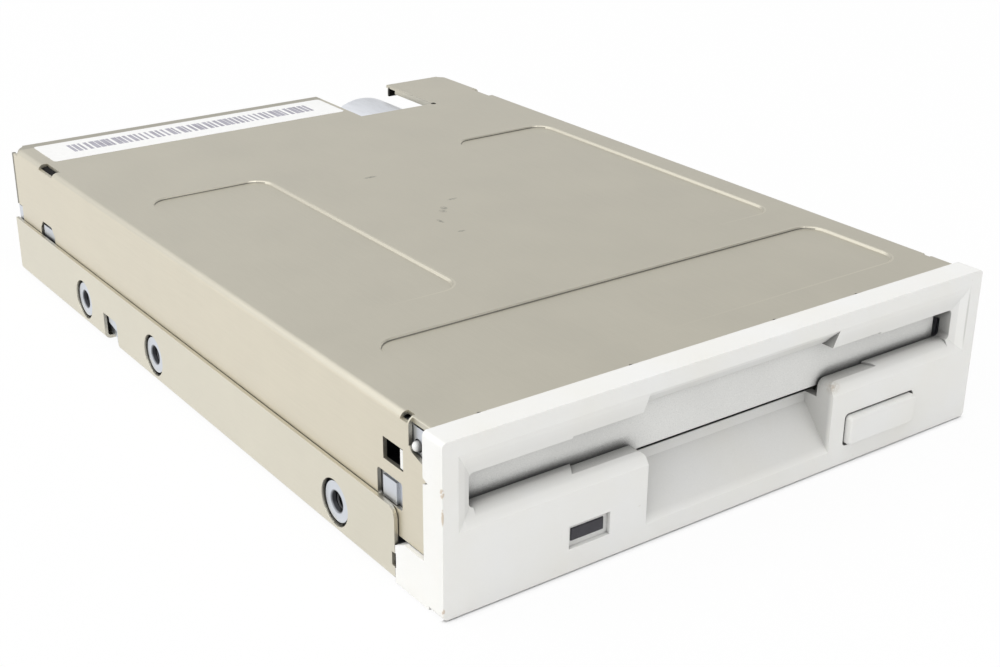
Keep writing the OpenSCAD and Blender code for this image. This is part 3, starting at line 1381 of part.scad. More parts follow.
// Screws of the main board and of the front board
module board_screws() {
  color([0.8, 0.8, 0.82]) placed() {
    for (p = pcb_posts) screw_up(p, pcb_z, deck_top - pcb_z - 1.3);
    for (p = fboard_screws) {
      bar_z(p[0], p[1], screw_head_r, [fboard_z + fboard_t, fboard_z + fboard_t + screw_head_h]);
      bar_z(p[0], p[1], post_bore_r, [chassis_z + 0.6, fboard_z + fboard_t + 0.01]);
    }
  }
}

// Screws of the motor board and of the head motor
module motor_screws() {
  color([0.8, 0.8, 0.82]) placed() {
    for (p = mboard_posts) screw_up(p, mboard_z, mboard_t + 2);
    for (x = can_screws) {
      bar_y(x, can_screw_z, screw_head_r, [back_wall_y - screw_head_h, back_wall_y]);
      bar_y(x, can_screw_z, post_bore_r, [back_wall_y - 0.01, can_front + 3.5]);
    }
  }
}

// Draws the chosen sub-parts
bottom_shield();
top_cover();
chassis();
left_rail();
right_rail();
motor_bracket();
spring_posts();
bezel();
door_flap();
door_spring();
eject_button();
slide_plate();
slide_springs();
disk_carrier();
carrier_pins();
shutter_lever();
lever_pin();
lever_spring();
led_window();
led();
front_board();
write_protect_switch();
write_protect_plunger();
density_switch();
density_plunger();
disk_switch();
disk_plunger();
motor_board();
spindle_bearing();
stator_core();
stator_coils();
spindle_shaft();
spindle_rotor();
rotor_magnet();
spindle_hub();
drive_pin();
main_board();
board_chips();
data_connector();
data_pins();
power_connector();
power_pins();
stepper_motor();
lead_screw();
screw_bearing();
guide_rod();
rod_clamps();
head_carriage();
lower_head();
upper_arm();
upper_head();
arm_pin();
arm_spring();
track_sensor();
board_screws();
motor_screws();
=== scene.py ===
"""Floppy disk drive: looks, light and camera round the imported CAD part."""
import json
import math

import bmesh
import bpy
from mathutils import Matrix, Vector


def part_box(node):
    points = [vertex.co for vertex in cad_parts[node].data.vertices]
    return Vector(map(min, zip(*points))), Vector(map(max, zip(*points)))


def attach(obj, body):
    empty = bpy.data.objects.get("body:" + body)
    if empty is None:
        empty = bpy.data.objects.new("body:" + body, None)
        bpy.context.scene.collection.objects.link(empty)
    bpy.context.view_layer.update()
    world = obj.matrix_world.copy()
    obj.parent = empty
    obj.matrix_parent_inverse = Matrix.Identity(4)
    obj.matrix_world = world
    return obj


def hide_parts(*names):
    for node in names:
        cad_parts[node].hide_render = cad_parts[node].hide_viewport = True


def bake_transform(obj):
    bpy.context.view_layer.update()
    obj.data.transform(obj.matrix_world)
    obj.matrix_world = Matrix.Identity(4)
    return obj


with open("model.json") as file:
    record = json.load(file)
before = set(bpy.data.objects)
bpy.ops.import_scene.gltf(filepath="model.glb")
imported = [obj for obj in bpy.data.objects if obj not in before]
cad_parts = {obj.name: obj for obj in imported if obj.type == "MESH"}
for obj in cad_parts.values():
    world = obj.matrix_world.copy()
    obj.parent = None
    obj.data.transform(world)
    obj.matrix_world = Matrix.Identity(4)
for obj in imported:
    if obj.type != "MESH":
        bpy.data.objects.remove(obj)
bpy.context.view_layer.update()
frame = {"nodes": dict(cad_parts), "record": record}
nodes = frame["nodes"]
record = frame["record"]
scene = bpy.context.scene


# Places and sizes in millimetres, with X and Z in the row frame and Y from the bezel's face backwards

MM = 1000        # in a metre
SIDES = (-1, 1)  # left and right, or front and rear


def box_mm(node):
    """A node's lowest and highest corners in the row frame."""
    return [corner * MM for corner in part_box(node)]


FACE_Y = box_mm("bezel")[0].y
cover_far = box_mm("top_cover")[1]
COVER_X = cover_far.x          # the cover's sides
TOP_Z = cover_far.z            # its top
REAR_Y = cover_far.y - FACE_Y  # its rear edge
SKIN_X = COVER_X - 0.8         # further out than this are only the sides of the sheets
EDGE_Z = (1.5, 24.0)           # level faces of those sides between these heights are sheared edges
PANEL_Z = TOP_Z - 0.35         # the floor of the cover's sunk panels
PANEL_R = 3.5                  # their corners
PANEL_REACH = 48.0             # they end within this distance from the middle
STEEP = 0.3                    # a normal that leans further than this is on their slopes
NOTCH_X = (16.9, 34.8)         # the sides of the rear notch over the head motor
NOTCH_Y = REAR_Y - 18.5        # its front edge
SLOT_X = 46.0                  # half the width of the disk slot's inside
SLOT_Z = 10.8                  # the height where the painted shade round it begins
SILL_Y = 5.75                  # where the black painted shade behind the finger scoop's ledge begins
SUNK_X = 47.0                  # half the width of the bezel's sunk middle
SUNK_Z = 22.0                  # its top
HOLE_X = 50.0                  # near the mouths of the side holes
SCREW_LEAD = 3.75              # the lead screw's travel in a turn
# Outlines of the sunk panels in X and Y: left, right and front
PANELS = [((-42.2, -19.4), (41.1, 105)), ((22.3, 44.4), (39.3, 104.9)), ((-42.1, 44.6), (11.1, 30.8))]
mounts = {m["name"]: m for m in record["mounts"]}
side_threads = [m for name, m in mounts.items() if name.startswith("side_thread")]
bottom_threads = mounts["bottom_threads"]


def at(x, y, z):
    """A point in metres of the row frame."""
    return Vector((x, y + FACE_Y, z)) / MM


# Wear, and a painted shade line: X, Y and Z of each place, then its reach along them

SCUFFS = [
    (-3.1, 94.5, TOP_Z, (1.6, 0.6, 0.5)),
    (-1.6, 72.6, TOP_Z, (0.7, 1.1, 0.5)),
    (-2.7, 71.3, TOP_Z, (0.7, 1.1, 0.5)),
    (-5.9, 67.3, TOP_Z, (0.5, 1.2, 0.5)),
    (-5.7, 61.3, TOP_Z, (0.9, 0.5, 0.5)),
    (2.3, 75.8, TOP_Z, (1.3, 0.5, 0.5)),
]
CHIPS = [
    (-50.8, 0.1, 18.5, (0.4, 0.6, 0.9)),
    (-50.8, 0.0, 15.2, (0.25, 0.4, 1.6)),
    (-50.8, 0.0, 1.2, (0.4, 0.5, 0.9)),
]
RUBS = [(19.3, 0.8, 13.4, (1.8, 1.6, 1.2))]
# a painted shade line down the right outer edge of the slot's frame
SHADE_LINES = [(48.35, 0.0, 17.6, (0.2, 0.8, 6.0))]
# Places where the moulding's black painted shade in tight gaps is weakened, and black painted shade under
# the shield's front edges
LESS_GAP_SHADE = [(s * 45.3, 1.2, 13.2, (1.6, 2.6, 2.2)) for s in SIDES]
LESS_GAP_SHADE += [(s * 50.6, 3.3, 0.3, (1.2, 1.2, 0.9)) for s in SIDES]
LEG_SHADE_SPOTS = [(s * 49.7, 12.8, 5.6, (1.6, 2.4, 0.8)) for s in SIDES]
# Black painted shade on the casting: in the side holes, under the slots in the cover's bends, behind its
# front windows
CAST_SHADE_SPOTS = [(m["axis"][0] * HOLE_X, m["pos_m"][1] * MM - FACE_Y, m["pos_m"][2] * MM, (8.0, 1.9, 1.9))
        for m in side_threads]
CAST_SHADE_SPOTS += [(s * 49, 132.5, 23.0, (4.0, 10.0, 4.0)) for s in SIDES]
CAST_SHADE_SPOTS += [(s * 48.4, 14.5, 17.3, (2.5, 2.6, 2.5)) for s in SIDES]


# Node trees

class Tree:
    """Short calls that add nodes to a shader tree."""
    MIX_FACTOR, MIX_A, MIX_B, MIX_RESULT = 0, 6, 7, 2  # a mix node's sockets for colours

    def __init__(self, tree):
        self.tree = tree
        tree.nodes.clear()

    def node(self, kind, **props):
        n = self.tree.nodes.new(kind)
        for k, v in props.items():
            setattr(n, k, v)
        return n

    def put(self, value, socket):
        """Links a socket to another, or sets its value."""
        if isinstance(value, bpy.types.NodeSocket):
            self.tree.links.new(value, socket)
        elif isinstance(value, (tuple, list)) and socket.type == "RGBA" and len(value) == 3:
            socket.default_value = (*value, 1)
        else:
            socket.default_value = value

    def calc(self, op, a, b=0.0, clamp=False):
        n = self.node("ShaderNodeMath", operation=op, use_clamp=clamp)
        self.put(a, n.inputs[0])
        self.put(b, n.inputs[1])
        return n.outputs[0]

    def times(self, first, *others):
        """All the values multiplied, which joins masks too."""
        for other in others:
            first = self.calc("MULTIPLY", first, other)
        return first

    def over(self, value, limit):
        """One where the value is greater than the limit."""
        return self.calc("GREATER_THAN", value, limit)

    def under(self, value, limit):
        """One where the value is less than the limit."""
        return self.calc("LESS_THAN", value, limit)

    def absolute(self, value):
        return self.calc("ABSOLUTE", value)

    def vector_calc(self, op, a, b=None, result="Vector"):
        n = self.node("ShaderNodeVectorMath", operation=op)
        self.put(a, n.inputs[0])
        if b is not None:
            self.put(b, n.inputs[1])
        return n.outputs[result]

    def split(self, vector):
        """X, Y and Z of a vector."""
        n = self.node("ShaderNodeSeparateXYZ")
        self.put(vector, n.inputs[0])
        return n.outputs

    def span(self, value, a, b, lo=0.0, hi=1.0, ease="LINEAR"):
        """Takes the range from a to b into the range from lo to hi, and holds it there."""
        n = self.node("ShaderNodeMapRange", interpolation_type=ease)
        self.put(value, n.inputs["Value"])
        for k, v in (("From Min", a), ("From Max", b), ("To Min", lo), ("To Max", hi)):
            n.inputs[k].default_value = v
        return n.outputs[0]

    def mix(self, fac, a, b, blend="MIX"):
        n = self.node("ShaderNodeMix", data_type="RGBA", blend_type=blend)
        self.put(fac, n.inputs[self.MIX_FACTOR])
        self.put(a, n.inputs[self.MIX_A])
        self.put(b, n.inputs[self.MIX_B])
        return n.outputs[self.MIX_RESULT]

    def openness(self, reach, lean=None):
        """One in the open, less where something is within reach round the normal, or round lean instead."""
        n = self.node("ShaderNodeAmbientOcclusion", samples=8)
        n.inputs["Distance"].default_value = reach / MM
        if lean:
            way = self.node("ShaderNodeCombineXYZ")
            for socket, v in zip(way.inputs, lean):
                socket.default_value = v
            self.put(way.outputs[0], n.inputs["Normal"])
        return n.outputs["AO"]


materials = {}  # by the names that they are made with


class Graph(Tree):
    """A node material round one Principled shader, with coordinates in millimetres."""

    def __init__(self, name, **sockets):
        self.mat = bpy.data.materials.new(name)
        self.mat.use_nodes = True
        materials[name] = self.mat
        super().__init__(self.mat.node_tree)
        self.bsdf = self.node("ShaderNodeBsdfPrincipled")
        out = self.node("ShaderNodeOutputMaterial")
        self.put(self.bsdf.outputs[0], out.inputs["Surface"])
        coord = self.node("ShaderNodeTexCoord")
        self.pos = self.stretch((MM, MM, MM), coord.outputs["Object"])
        self.set(**sockets)

    def set(self, **sockets):
        """Sets the shader's sockets, written with underscores for spaces."""
        for k, v in sockets.items():
            self.put(v, self.bsdf.inputs[k.replace("_", " ")])

    def stretch(self, scale, vector=None):
        return self.vector_calc("MULTIPLY", vector or self.pos, scale)

    def noise(self, scale, detail=2.0, rough=0.5, vector=None, shift=0.0):
        n = self.node("ShaderNodeTexNoise", noise_dimensions="4D")
        self.put(vector or self.pos, n.inputs["Vector"])
        for k, v in (("Scale", scale), ("Detail", detail), ("Roughness", rough), ("W", shift)):
            n.inputs[k].default_value = v
        return n.outputs["Fac"]

    def cells(self, scale, feature="F1", vector=None):
        n = self.node("ShaderNodeTexVoronoi", feature=feature)
        self.put(vector or self.pos, n.inputs["Vector"])
        n.inputs["Scale"].default_value = scale
        return n.outputs["Distance"]

    def normal(self):
        """X, Y and Z of the surface's true normal."""
        return self.split(self.node("ShaderNodeNewGeometry").outputs["True Normal"])

    def near(self, x, y, z, size):
        """One at a place, zero outside an ellipsoid round it."""
        away = self.vector_calc("SUBTRACT", self.pos, (x, y + FACE_Y, z))
        away = self.stretch([1 / v for v in size], away)
        return self.span(self.vector_calc("LENGTH", away, result="Value"), 0.0, 1.0, 1.0, 0.0)

    def rim(self, x, y, r):
        """One on a thin line just outside a round-cornered outline, at any height."""
        middle = (sum(x) / 2, sum(y) / 2 + FACE_Y, 0)
        core = ((x[1] - x[0]) / 2 - r, (y[1] - y[0]) / 2 - r, MM)
        away = self.vector_calc("ABSOLUTE", self.vector_calc("SUBTRACT", self.pos, middle))
        away = self.vector_calc("MAXIMUM", self.vector_calc("SUBTRACT", away, core), (0, 0, 0))
        away = self.vector_calc("LENGTH", away, result="Value")
        return self.times(self.span(away, r, r + 0.08), self.span(away, r + 0.26, r + 0.42, 1.0, 0.0))

    def shade_in_gaps(self, reach, low, high, strength, lean=None):
        """Painted shade, darkest in corners and gaps: strength at the deepest, zero in the open."""
        return self.span(self.openness(reach, lean), low, high, strength, 0.0)

    def bumped(self, height, strength, distance):
        """The finished material, with bumps of a height given in millimetres."""
        n = self.node("ShaderNodeBump")
        n.inputs["Strength"].default_value = strength
        n.inputs["Distance"].default_value = distance / MM
        self.put(height, n.inputs["Height"])
        self.set(Normal=n.outputs[0])
        return self.mat


# Materials

CHAMPAGNE = (0.717, 0.682, 0.575)
SILVER = (0.68, 0.71, 0.76)
ABS = (0.80, 0.80, 0.785)
BRIGHT = (0.66, 0.66, 0.68)
# the black of painted shade in holes, gaps, slots and folds
SHADE_BLACK = (0.012, 0.012, 0.014)
TOP_SHADE = 0.885               # painted shade: the cover's top is this share as bright as its sides
SIDE_LIGHT_TINT = (1.0, 0.98, 0.955)  # the painted tint of its sides, warmer than its top as the light falls there


def shade(c, f):
    """A colour made darker or lighter."""
    return tuple(v * f for v in c)


def paint_black_shade(g, c, places, strength):
    """Painted shade: black places with soft edges."""
    for place in places:
        c = g.mix(g.span(g.near(*place), 0.02, 0.2, 0.0, strength), c, SHADE_BLACK)
    return c


def plain(name, base, metallic, rough, grain, contrast, bump, along=(1, 1, 1), gap_shade_reach=0.0, shade_spots=(),
          **sockets):
    """A surface with cloudy colour, uneven gloss and fine grain, and painted shade: darker in its crevices,
    black at given spots.
    """
    g = Graph(name, Metallic=metallic, **sockets)
    fine = g.noise(grain * 3, 3, 0.6, g.stretch(along))
    cloud = g.calc("ADD", g.noise(grain * 0.12, 3), fine, clamp=True)
    cloud = g.span(g.times(cloud, 0.5), 0.3, 0.7)
    c = g.mix(cloud, shade(base, 1 - contrast), shade(base, 1 + contrast * 0.6))
    # painted shade: darker in crevices and gaps, then black at the given spots
    if gap_shade_reach:
        c = g.mix(g.shade_in_gaps(gap_shade_reach, 0.1, 0.65, 0.9), c, (0.02, 0.02, 0.022))
    g.set(Base_Color=paint_black_shade(g, c, shade_spots, 0.97),
          Roughness=g.span(fine, 0.25, 0.75, rough - 0.06, rough + 0.08))
    return g.bumped(fine, bump, 0.02)


def sheared(g):
    """One on the sheets' sheared edges, where they show in the sides."""
    x, _, z = g.split(g.pos)
    _, ny, nz = g.normal()
    side = g.over(g.absolute(x), SKIN_X)
    upright = g.span(g.absolute(ny), 0.8, 0.95)
    level = g.times(g.over(z, EDGE_Z[0]), g.under(z, EDGE_Z[1]), g.span(g.absolute(nz), 0.8, 0.95))
    return g.times(side, g.calc("MAXIMUM", upright, level))


def panel_edge_light(g, c, base):
    """Painted light on the edges of the cover's sunk panels: slopes facing forward or back lighter, a
    painted highlight in a thin line round each rim that fades towards the left, slopes facing left darker,
    and painted shade at the foot of those facing forward.
    """
    x, _, z = g.split(g.pos)
    nx, ny, _ = g.normal()
    above = g.times(g.under(g.absolute(x), PANEL_REACH), g.over(z, PANEL_Z + 0.02))
    crest = g.times(above, g.under(z, TOP_Z - 0.01), g.over(g.absolute(ny), STEEP))
    c = g.mix(g.times(crest, 0.8), c, shade(base, 1.3))
    for (x0, x1), y in PANELS:
        fade = g.span(x, x0 + 0.35 * (x1 - x0), x1)
        line = g.times(g.rim((x0, x1), y, PANEL_R), g.over(z, TOP_Z - 0.04))
        c = g.mix(g.times(line, fade, 0.8), c, shade(base, 1.14))
    c = g.mix(g.times(above, g.under(nx, -STEEP)), c, shade(base, 0.9))
    foot = g.times(above, g.under(z, PANEL_Z + 0.17), g.under(ny, -STEEP))
    return g.mix(g.times(foot, 0.85), c, shade(base, 0.3))


def rear_shading(g, c, base):
    """The cover's rear: a darker strip across its top, and painted shade: a dark line down its sides, the
    lower part of the notch's fold darker, dark in the notch's front corner and black on the fold's end.
    """
    x, y, z = g.split(g.pos)
    rear = REAR_Y + FACE_Y
    side = g.times(g.over(g.absolute(x), SKIN_X), g.over(y, rear - 0.8))
    c = g.mix(g.times(side, 0.8), c, shade(base, 0.2))
    strip = g.times(g.over(z, TOP_Z - 0.8), g.span(y, rear - 3.2, rear - 2.8), g.under(x, NOTCH_X[0]))
    c = g.mix(g.times(strip, 0.6), c, shade(base, 0.62))
    flange = g.under(g.absolute(g.calc("ADD", x, -NOTCH_X[1])), 0.3)
    flange = g.times(flange, g.over(y, NOTCH_Y - 6.5 + FACE_Y))
    lower = g.span(z, TOP_Z - 0.3, TOP_Z - 1.8, 0.0, 0.6)
    c = g.mix(g.times(flange, lower), c, shade(base, 0.5))
    relief = g.near(NOTCH_X[1] + 0.2, NOTCH_Y - 0.5, TOP_Z - 0.5, (0.9, 0.9, 0.6))
    c = g.mix(g.span(relief, 0.0, 0.2, 0.0, 0.85), c, (0.03, 0.03, 0.03))
    fold = g.near(NOTCH_X[1] + 0.8, REAR_Y - 1.5, TOP_Z - 1.6, (1.8, 0.7, 1.6))
    return g.mix(g.span(fold, 0.0, 0.2, 0.0, 0.92), c, SHADE_BLACK)


def plated(name, base, scuffs=(), edges=False, cover=False):
    """Satin plated sheet: faint rolling lines along Y, soft clouds, scuffs, darker sheared edges and painted
    shade in gaps; on the cover, painted light and shade on its top, sides, panels and rear.
    """
    g = Graph(name, Metallic=0.92)
    lines = g.noise(5.0, 3, 0.6, g.stretch((1.0, 0.035, 1.0)))
    cloud = g.noise(0.09, 4, 0.55)
    fine = g.noise(9.0, 2, 0.5)
    c = g.mix(g.span(cloud, 0.3, 0.7), shade(base, 0.975), shade(base, 1.015))
    c = g.mix(g.span(lines, 0.35, 0.7, 0.0, 0.22), c, shade(base, 0.9))
    c = g.mix(g.span(fine, 0.55, 0.8, 0.0, 0.12), c, shade(base, 1.15))
    for place in scuffs:
        ragged = g.span(g.noise(3.0, 3, 0.7, shift=9.0), 0.38, 0.6)
        scuff = g.times(g.near(*place), ragged)
        c = g.mix(g.span(scuff, 0.05, 0.45, 0.0, 0.62), c, shade(base, 0.3))
    if cover:
        # painted shade on the cover's top and a painted warmer tint on its sides, as the light falls on
        # them; painted light on its panels' edges and at its rear
        x = g.split(g.pos)["X"]
        side = g.span(g.absolute(x), COVER_X - 0.2, COVER_X - 0.04)
        c = g.mix(1.0, c, g.mix(side, (TOP_SHADE, TOP_SHADE, TOP_SHADE), SIDE_LIGHT_TINT), "MULTIPLY")
        c = panel_edge_light(g, c, shade(base, TOP_SHADE))
        c = rear_shading(g, c, shade(base, TOP_SHADE))
    if edges:
        # sheared edges darker: partly their raw cut metal, partly painted shade; then painted shade in the
        # gaps between the sheets
        c = g.mix(g.times(sheared(g), 0.25), c, (0.16, 0.155, 0.15))
        c = g.mix(g.shade_in_gaps(1.2, 0.1, 0.55, 0.85), c, (0.03, 0.03, 0.034))
    uneven = g.times(g.calc("ADD", lines, cloud, clamp=True), 0.5)
    g.set(Base_Color=c, Roughness=g.span(uneven, 0.3, 0.7, 0.36, 0.47))
    return g.bumped(g.calc("ADD", fine, g.times(lines, 0.6), clamp=True), 0.07, 0.02)


def slot_shade(g, c, base):
    """Painted shade on the bezel's sunk middle: greyer in its depth, dark round the disk slot and black
    inside it.
    """
    x, y, z = g.split(g.pos)
    out = g.absolute(x)
    sunk = g.times(g.span(y, FACE_Y + 0.1, FACE_Y + 0.9), g.under(out, SUNK_X), g.under(z, SUNK_Z))
    c = g.mix(g.times(g.shade_in_gaps(18.0, 0.3, 1.08, 0.56), sunk), c, shade(base, 0.35))
    slot_rim_shade = g.times(g.shade_in_gaps(4.0, 0.42, 0.86, 0.85), g.span(z, SLOT_Z, SLOT_Z + 1.5))
    c = g.mix(slot_rim_shade, c, (0.03, 0.03, 0.028))
    deep = g.times(g.over(y, SILL_Y + FACE_Y), g.over(z, SLOT_Z), g.under(out, SLOT_X))
    return g.mix(g.times(deep, 0.95), c, SHADE_BLACK)


def moulded(name, base, chips=(), rubs=(), lines=(), shade_spots=(), slotted=False):
    """Off-white moulding: fine grain, slight ageing, worn and chipped places, and painted shade: dark lines,
    darker gaps, black in tight gaps and at given spots.
    """
    g = Graph(name, Specular_IOR_Level=0.45)
    fine = g.noise(7.0, 2, 0.6)
    aged = (base[0] * 0.985, base[1] * 0.975, base[2] * 0.945)
    c = g.mix(g.span(g.noise(0.08, 3), 0.35, 0.7), base, aged)
    c = g.mix(g.span(fine, 0.55, 0.85, 0.0, 0.16), c, shade(base, 0.8))
    specks = g.noise(2.2, 2, 0.5, shift=4.0)
    c = g.mix(g.span(specks, 0.74, 0.8, 0.0, 0.35), c, (0.42, 0.36, 0.27))
    for place in rubs:
        ragged = g.span(g.noise(2.6, 3, 0.7, shift=2.0), 0.4, 0.55)
        c = g.mix(g.times(g.near(*place), ragged, 0.8), c, (0.5, 0.43, 0.34))
    # painted shade: thin dark lines
    for place in lines:
        c = g.mix(g.span(g.near(*place), 0.0, 0.5, 0.0, 0.38), c, (0.3, 0.29, 0.26))
    for place in chips:
        ragged = g.span(g.noise(1.7, 2, 0.6, shift=7.0), 0.4, 0.55, 0.3, 1.6)
        chip = g.times(g.near(*place), ragged)
        c = g.mix(g.span(chip, 0.2, 0.7, 0.0, 0.7), c, (0.5, 0.38, 0.26))
    # painted shade: darker in gaps, black in tight gaps, less so at given places, then black at given spots
    c = g.mix(g.shade_in_gaps(2.4, 0.1, 0.5, 0.55), c, (0.1, 0.095, 0.09))
    tight = g.shade_in_gaps(1.0, 0.12, 0.42, 0.97)
    for place in LESS_GAP_SHADE:
        tight = g.times(tight, g.span(g.near(*place), 0.0, 0.5, 1.0, 0.25))
    c = paint_black_shade(g, g.mix(tight, c, SHADE_BLACK), shade_spots, 0.95)
    # painted shade round and inside the disk slot
    if slotted:
        c = slot_shade(g, c, base)
    g.set(Base_Color=c, Roughness=g.span(fine, 0.2, 0.8, 0.41, 0.58))
    return g.bumped(fine, 0.16, 0.03)


def speckled(name, base):
    """Grey moulding with light and dark flecks, and painted shade low down where the ledge below shuts it
    in.
    """
    g = Graph(name, Specular_IOR_Level=0.4)
    dark = g.noise(5.0, 2, 0.55)
    light = g.noise(6.0, 2, 0.55, shift=5.0)
    c = g.mix(g.span(g.noise(0.1, 2), 0.3, 0.7), shade(base, 0.96), shade(base, 1.03))
    c = g.mix(g.span(dark, 0.54, 0.66, 0.0, 0.3), c, shade(base, 0.65))
    c = g.mix(g.span(light, 0.56, 0.68, 0.0, 0.3), c, shade(base, 1.3))
    # painted shade on the lower part, where the ledge below shuts it in
    c = g.mix(g.shade_in_gaps(2.8, 0.28, 0.66, 0.9, lean=(0.0, -0.7, -0.7)), c, (0.02, 0.02, 0.02))
    g.set(Base_Color=c, Roughness=g.span(dark, 0.2, 0.8, 0.42, 0.6))
    return g.bumped(dark, 0.2, 0.03)


def laminate(name, base):
    """Circuit board: solder mask over faint tracks, with plated vias."""
    g = Graph(name, Coat_Weight=0.3)
    track = g.span(g.cells(0.55, "DISTANCE_TO_EDGE", g.stretch((1.0, 0.45, 1.0))), 0.04, 0.09)
    via = g.span(g.cells(0.28), 0.1, 0.13)
    fine = g.noise(4.0, 2)
    c = g.mix(track, shade(base, 1.7), base)
    c = g.mix(via, (0.55, 0.45, 0.2), c)
    c = g.mix(g.span(fine, 0.4, 0.8, 0.0, 0.2), c, shade(base, 0.6))
    g.set(Base_Color=c, Roughness=g.span(fine, 0.2, 0.8, 0.3, 0.42))
    return g.bumped(g.times(track, -1.0), 0.1, 0.03)


def threaded(name, base, middle, lead):
    """Turned bar along Y with a groove that winds round its middle, bumped and painted darker as shade."""
    g = Graph(name, Metallic=1.0)
    x, y, z = g.split(g.pos)
    turn = g.calc("ARCTAN2", g.calc("ADD", z, -middle.z), g.calc("ADD", x, -middle.x))
    along = g.calc("ADD", g.calc("DIVIDE", y, lead), g.calc("DIVIDE", turn, 2 * math.pi))
    wave = g.absolute(g.calc("ADD", g.calc("FRACT", along), -0.5))
    groove = g.span(wave, 0.1, 0.22, 1.0, 0.0)
    fine = g.noise(4.0, 2)
    c = g.mix(g.span(fine, 0.3, 0.7), shade(base, 0.94), base)
    # the groove painted darker: painted shade
    g.set(Base_Color=g.mix(g.times(groove, 0.7), c, shade(base, 0.25)),
          Roughness=g.span(fine, 0.2, 0.8, 0.2, 0.32))
    return g.bumped(g.times(groove, -1.0), 0.8, 0.3)


def smoked(name):
    """Polished smoked window."""
    g = Graph(name, Transmission_Weight=0.25, IOR=1.45, Coat_Weight=0.1)
    haze = g.noise(0.8, 3)
    g.set(Base_Color=g.mix(g.span(haze, 0.3, 0.7), (0.016, 0.015, 0.024), (0.03, 0.028, 0.04)),
          Roughness=g.span(haze, 0.3, 0.7, 0.1, 0.2))
    return g.bumped(g.noise(3.0, 1), 0.03, 0.02)


# Plain finishes: colour, metallic, roughness, grain, contrast, bump and, for some, the grain's stretch
FINISHES = {
    "can_steel": ((0.80, 0.82, 0.86), 0.85, 0.4, 1.0, 0.12, 0.12, (1.0, 0.06, 1.0)),
    "black_plastic": ((0.025, 0.025, 0.028), 0.0, 0.45, 2.0, 0.25, 0.25),
    "white_plastic": ((0.78, 0.77, 0.72), 0.0, 0.42, 2.0, 0.05, 0.12),
    "pin_metal": ((0.78, 0.58, 0.24), 1.0, 0.25, 2.0, 0.12, 0.05),
    "bearing_brass": ((0.62, 0.46, 0.2), 1.0, 0.35, 2.0, 0.15, 0.2),
    "coil_copper": ((0.62, 0.24, 0.08), 0.85, 0.3, 1.0, 0.3, 0.9, (1.0, 1.0, 4.0)),
    "core_iron": ((0.34, 0.34, 0.37), 1.0, 0.45, 2.0, 0.2, 0.4, (0.3, 0.3, 6.0)),
    "magnet_ferrite": ((0.06, 0.06, 0.065), 0.2, 0.6, 2.0, 0.25, 0.35),
    "rotor_steel": ((0.58, 0.58, 0.6), 1.0, 0.32, 1.0, 0.1, 0.1),
    "hub_metal": ((0.68, 0.66, 0.6), 1.0, 0.3, 1.5, 0.1, 0.1),
    "carriage_plastic": ((0.05, 0.05, 0.055), 0.0, 0.5, 1.6, 0.25, 0.3, (1.0, 0.3, 1.0)),
    "arm_metal": ((0.52, 0.53, 0.55), 0.95, 0.4, 1.6, 0.16, 0.3),
    "head_ceramic": ((0.1, 0.1, 0.115), 0.0, 0.16, 2.0, 0.2, 0.03),
    "bright_steel": (BRIGHT, 1.0, 0.22, 1.4, 0.1, 0.06),
    "spring_steel": ((0.4, 0.4, 0.42), 1.0, 0.3, 1.0, 0.2, 0.9, (0.2, 7.0, 0.2)),
    "coil_wire": ((0.42, 0.42, 0.44), 1.0, 0.28, 2.0, 0.12, 0.08),
}
CAST = (SILVER, 0.95, 0.34, 1.6, 0.16, 0.3)
LAMP = ((0.16, 0.5, 0.18), 0.0, 0.2, 1.0, 0.08, 0.03)
THREAD = ((0.09, 0.09, 0.095), 0.9, 0.5, 2.0, 0.3, 0.3)
BEND_SHADE = ((0.010, 0.010, 0.011), 0.0, 0.7, 2.0, 0.3, 0.2)
for name, finish in FINISHES.items():
    plain(name, *finish)
# the casting with painted shade in its crevices and black painted shade at given spots; the threads with
# painted shade in their crevices
plain("cast_metal", *CAST, gap_shade_reach=1.2, shade_spots=CAST_SHADE_SPOTS)
plain("lamp_plastic", *LAMP, Transmission_Weight=0.4)
plain("thread_metal", *THREAD, gap_shade_reach=3.0)
# black for the strips of painted shade in the cover's bends
plain("bend_shade_black", *BEND_SHADE, Specular_IOR_Level=0.1)
plated("cover_steel", CHAMPAGNE, scuffs=SCUFFS, edges=True, cover=True)
plated("shield_steel", CHAMPAGNE, edges=True)
plated("slide_steel", (0.6, 0.6, 0.57))
plated("carrier_steel", (0.6, 0.59, 0.55))
plated("lever_steel", (0.58, 0.58, 0.56))
moulded("bezel_plastic", ABS, chips=CHIPS, rubs=RUBS, lines=SHADE_LINES, shade_spots=LEG_SHADE_SPOTS, slotted=True)
moulded("button_plastic", ABS)
speckled("door_plastic", (0.71, 0.71, 0.69))
smoked("window_plastic")
laminate("board_laminate", (0.03, 0.16, 0.07))
laminate("motor_laminate", (0.035, 0.09, 0.2))
threaded("screw_thread", BRIGHT, sum(box_mm("lead_screw"), Vector()) / 2, SCREW_LEAD)

slots = {s["node"]: s["material_slot"] for s in record["subparts"]}
slots["lead_screw"] = "screw_thread"
for name, obj in nodes.items():
    obj.data.materials.clear()
    obj.data.materials.append(materials[slots[name]])


# Softened edges on the CAD nodes that show

# Widths of the bevels and their steps, and the least angle of an edge that gets one
BEVELS = {
    "top_cover": (0.12, 2, 32),
    "bottom_shield": (0.12, 2, 32),
    "eject_button": (0.22, 3, 32),
    "door_flap": (0.15, 2, 32),
    "left_rail": (0.15, 2, 32),
    "right_rail": (0.15, 2, 32),
    "led_window": (0.12, 2, 32),
    "stepper_motor": (0.3, 3, 32),
    "bezel": (0.28, 3, 17),
}
WELD_GAP = 0.002
FLAT_ANGLE = 0.6


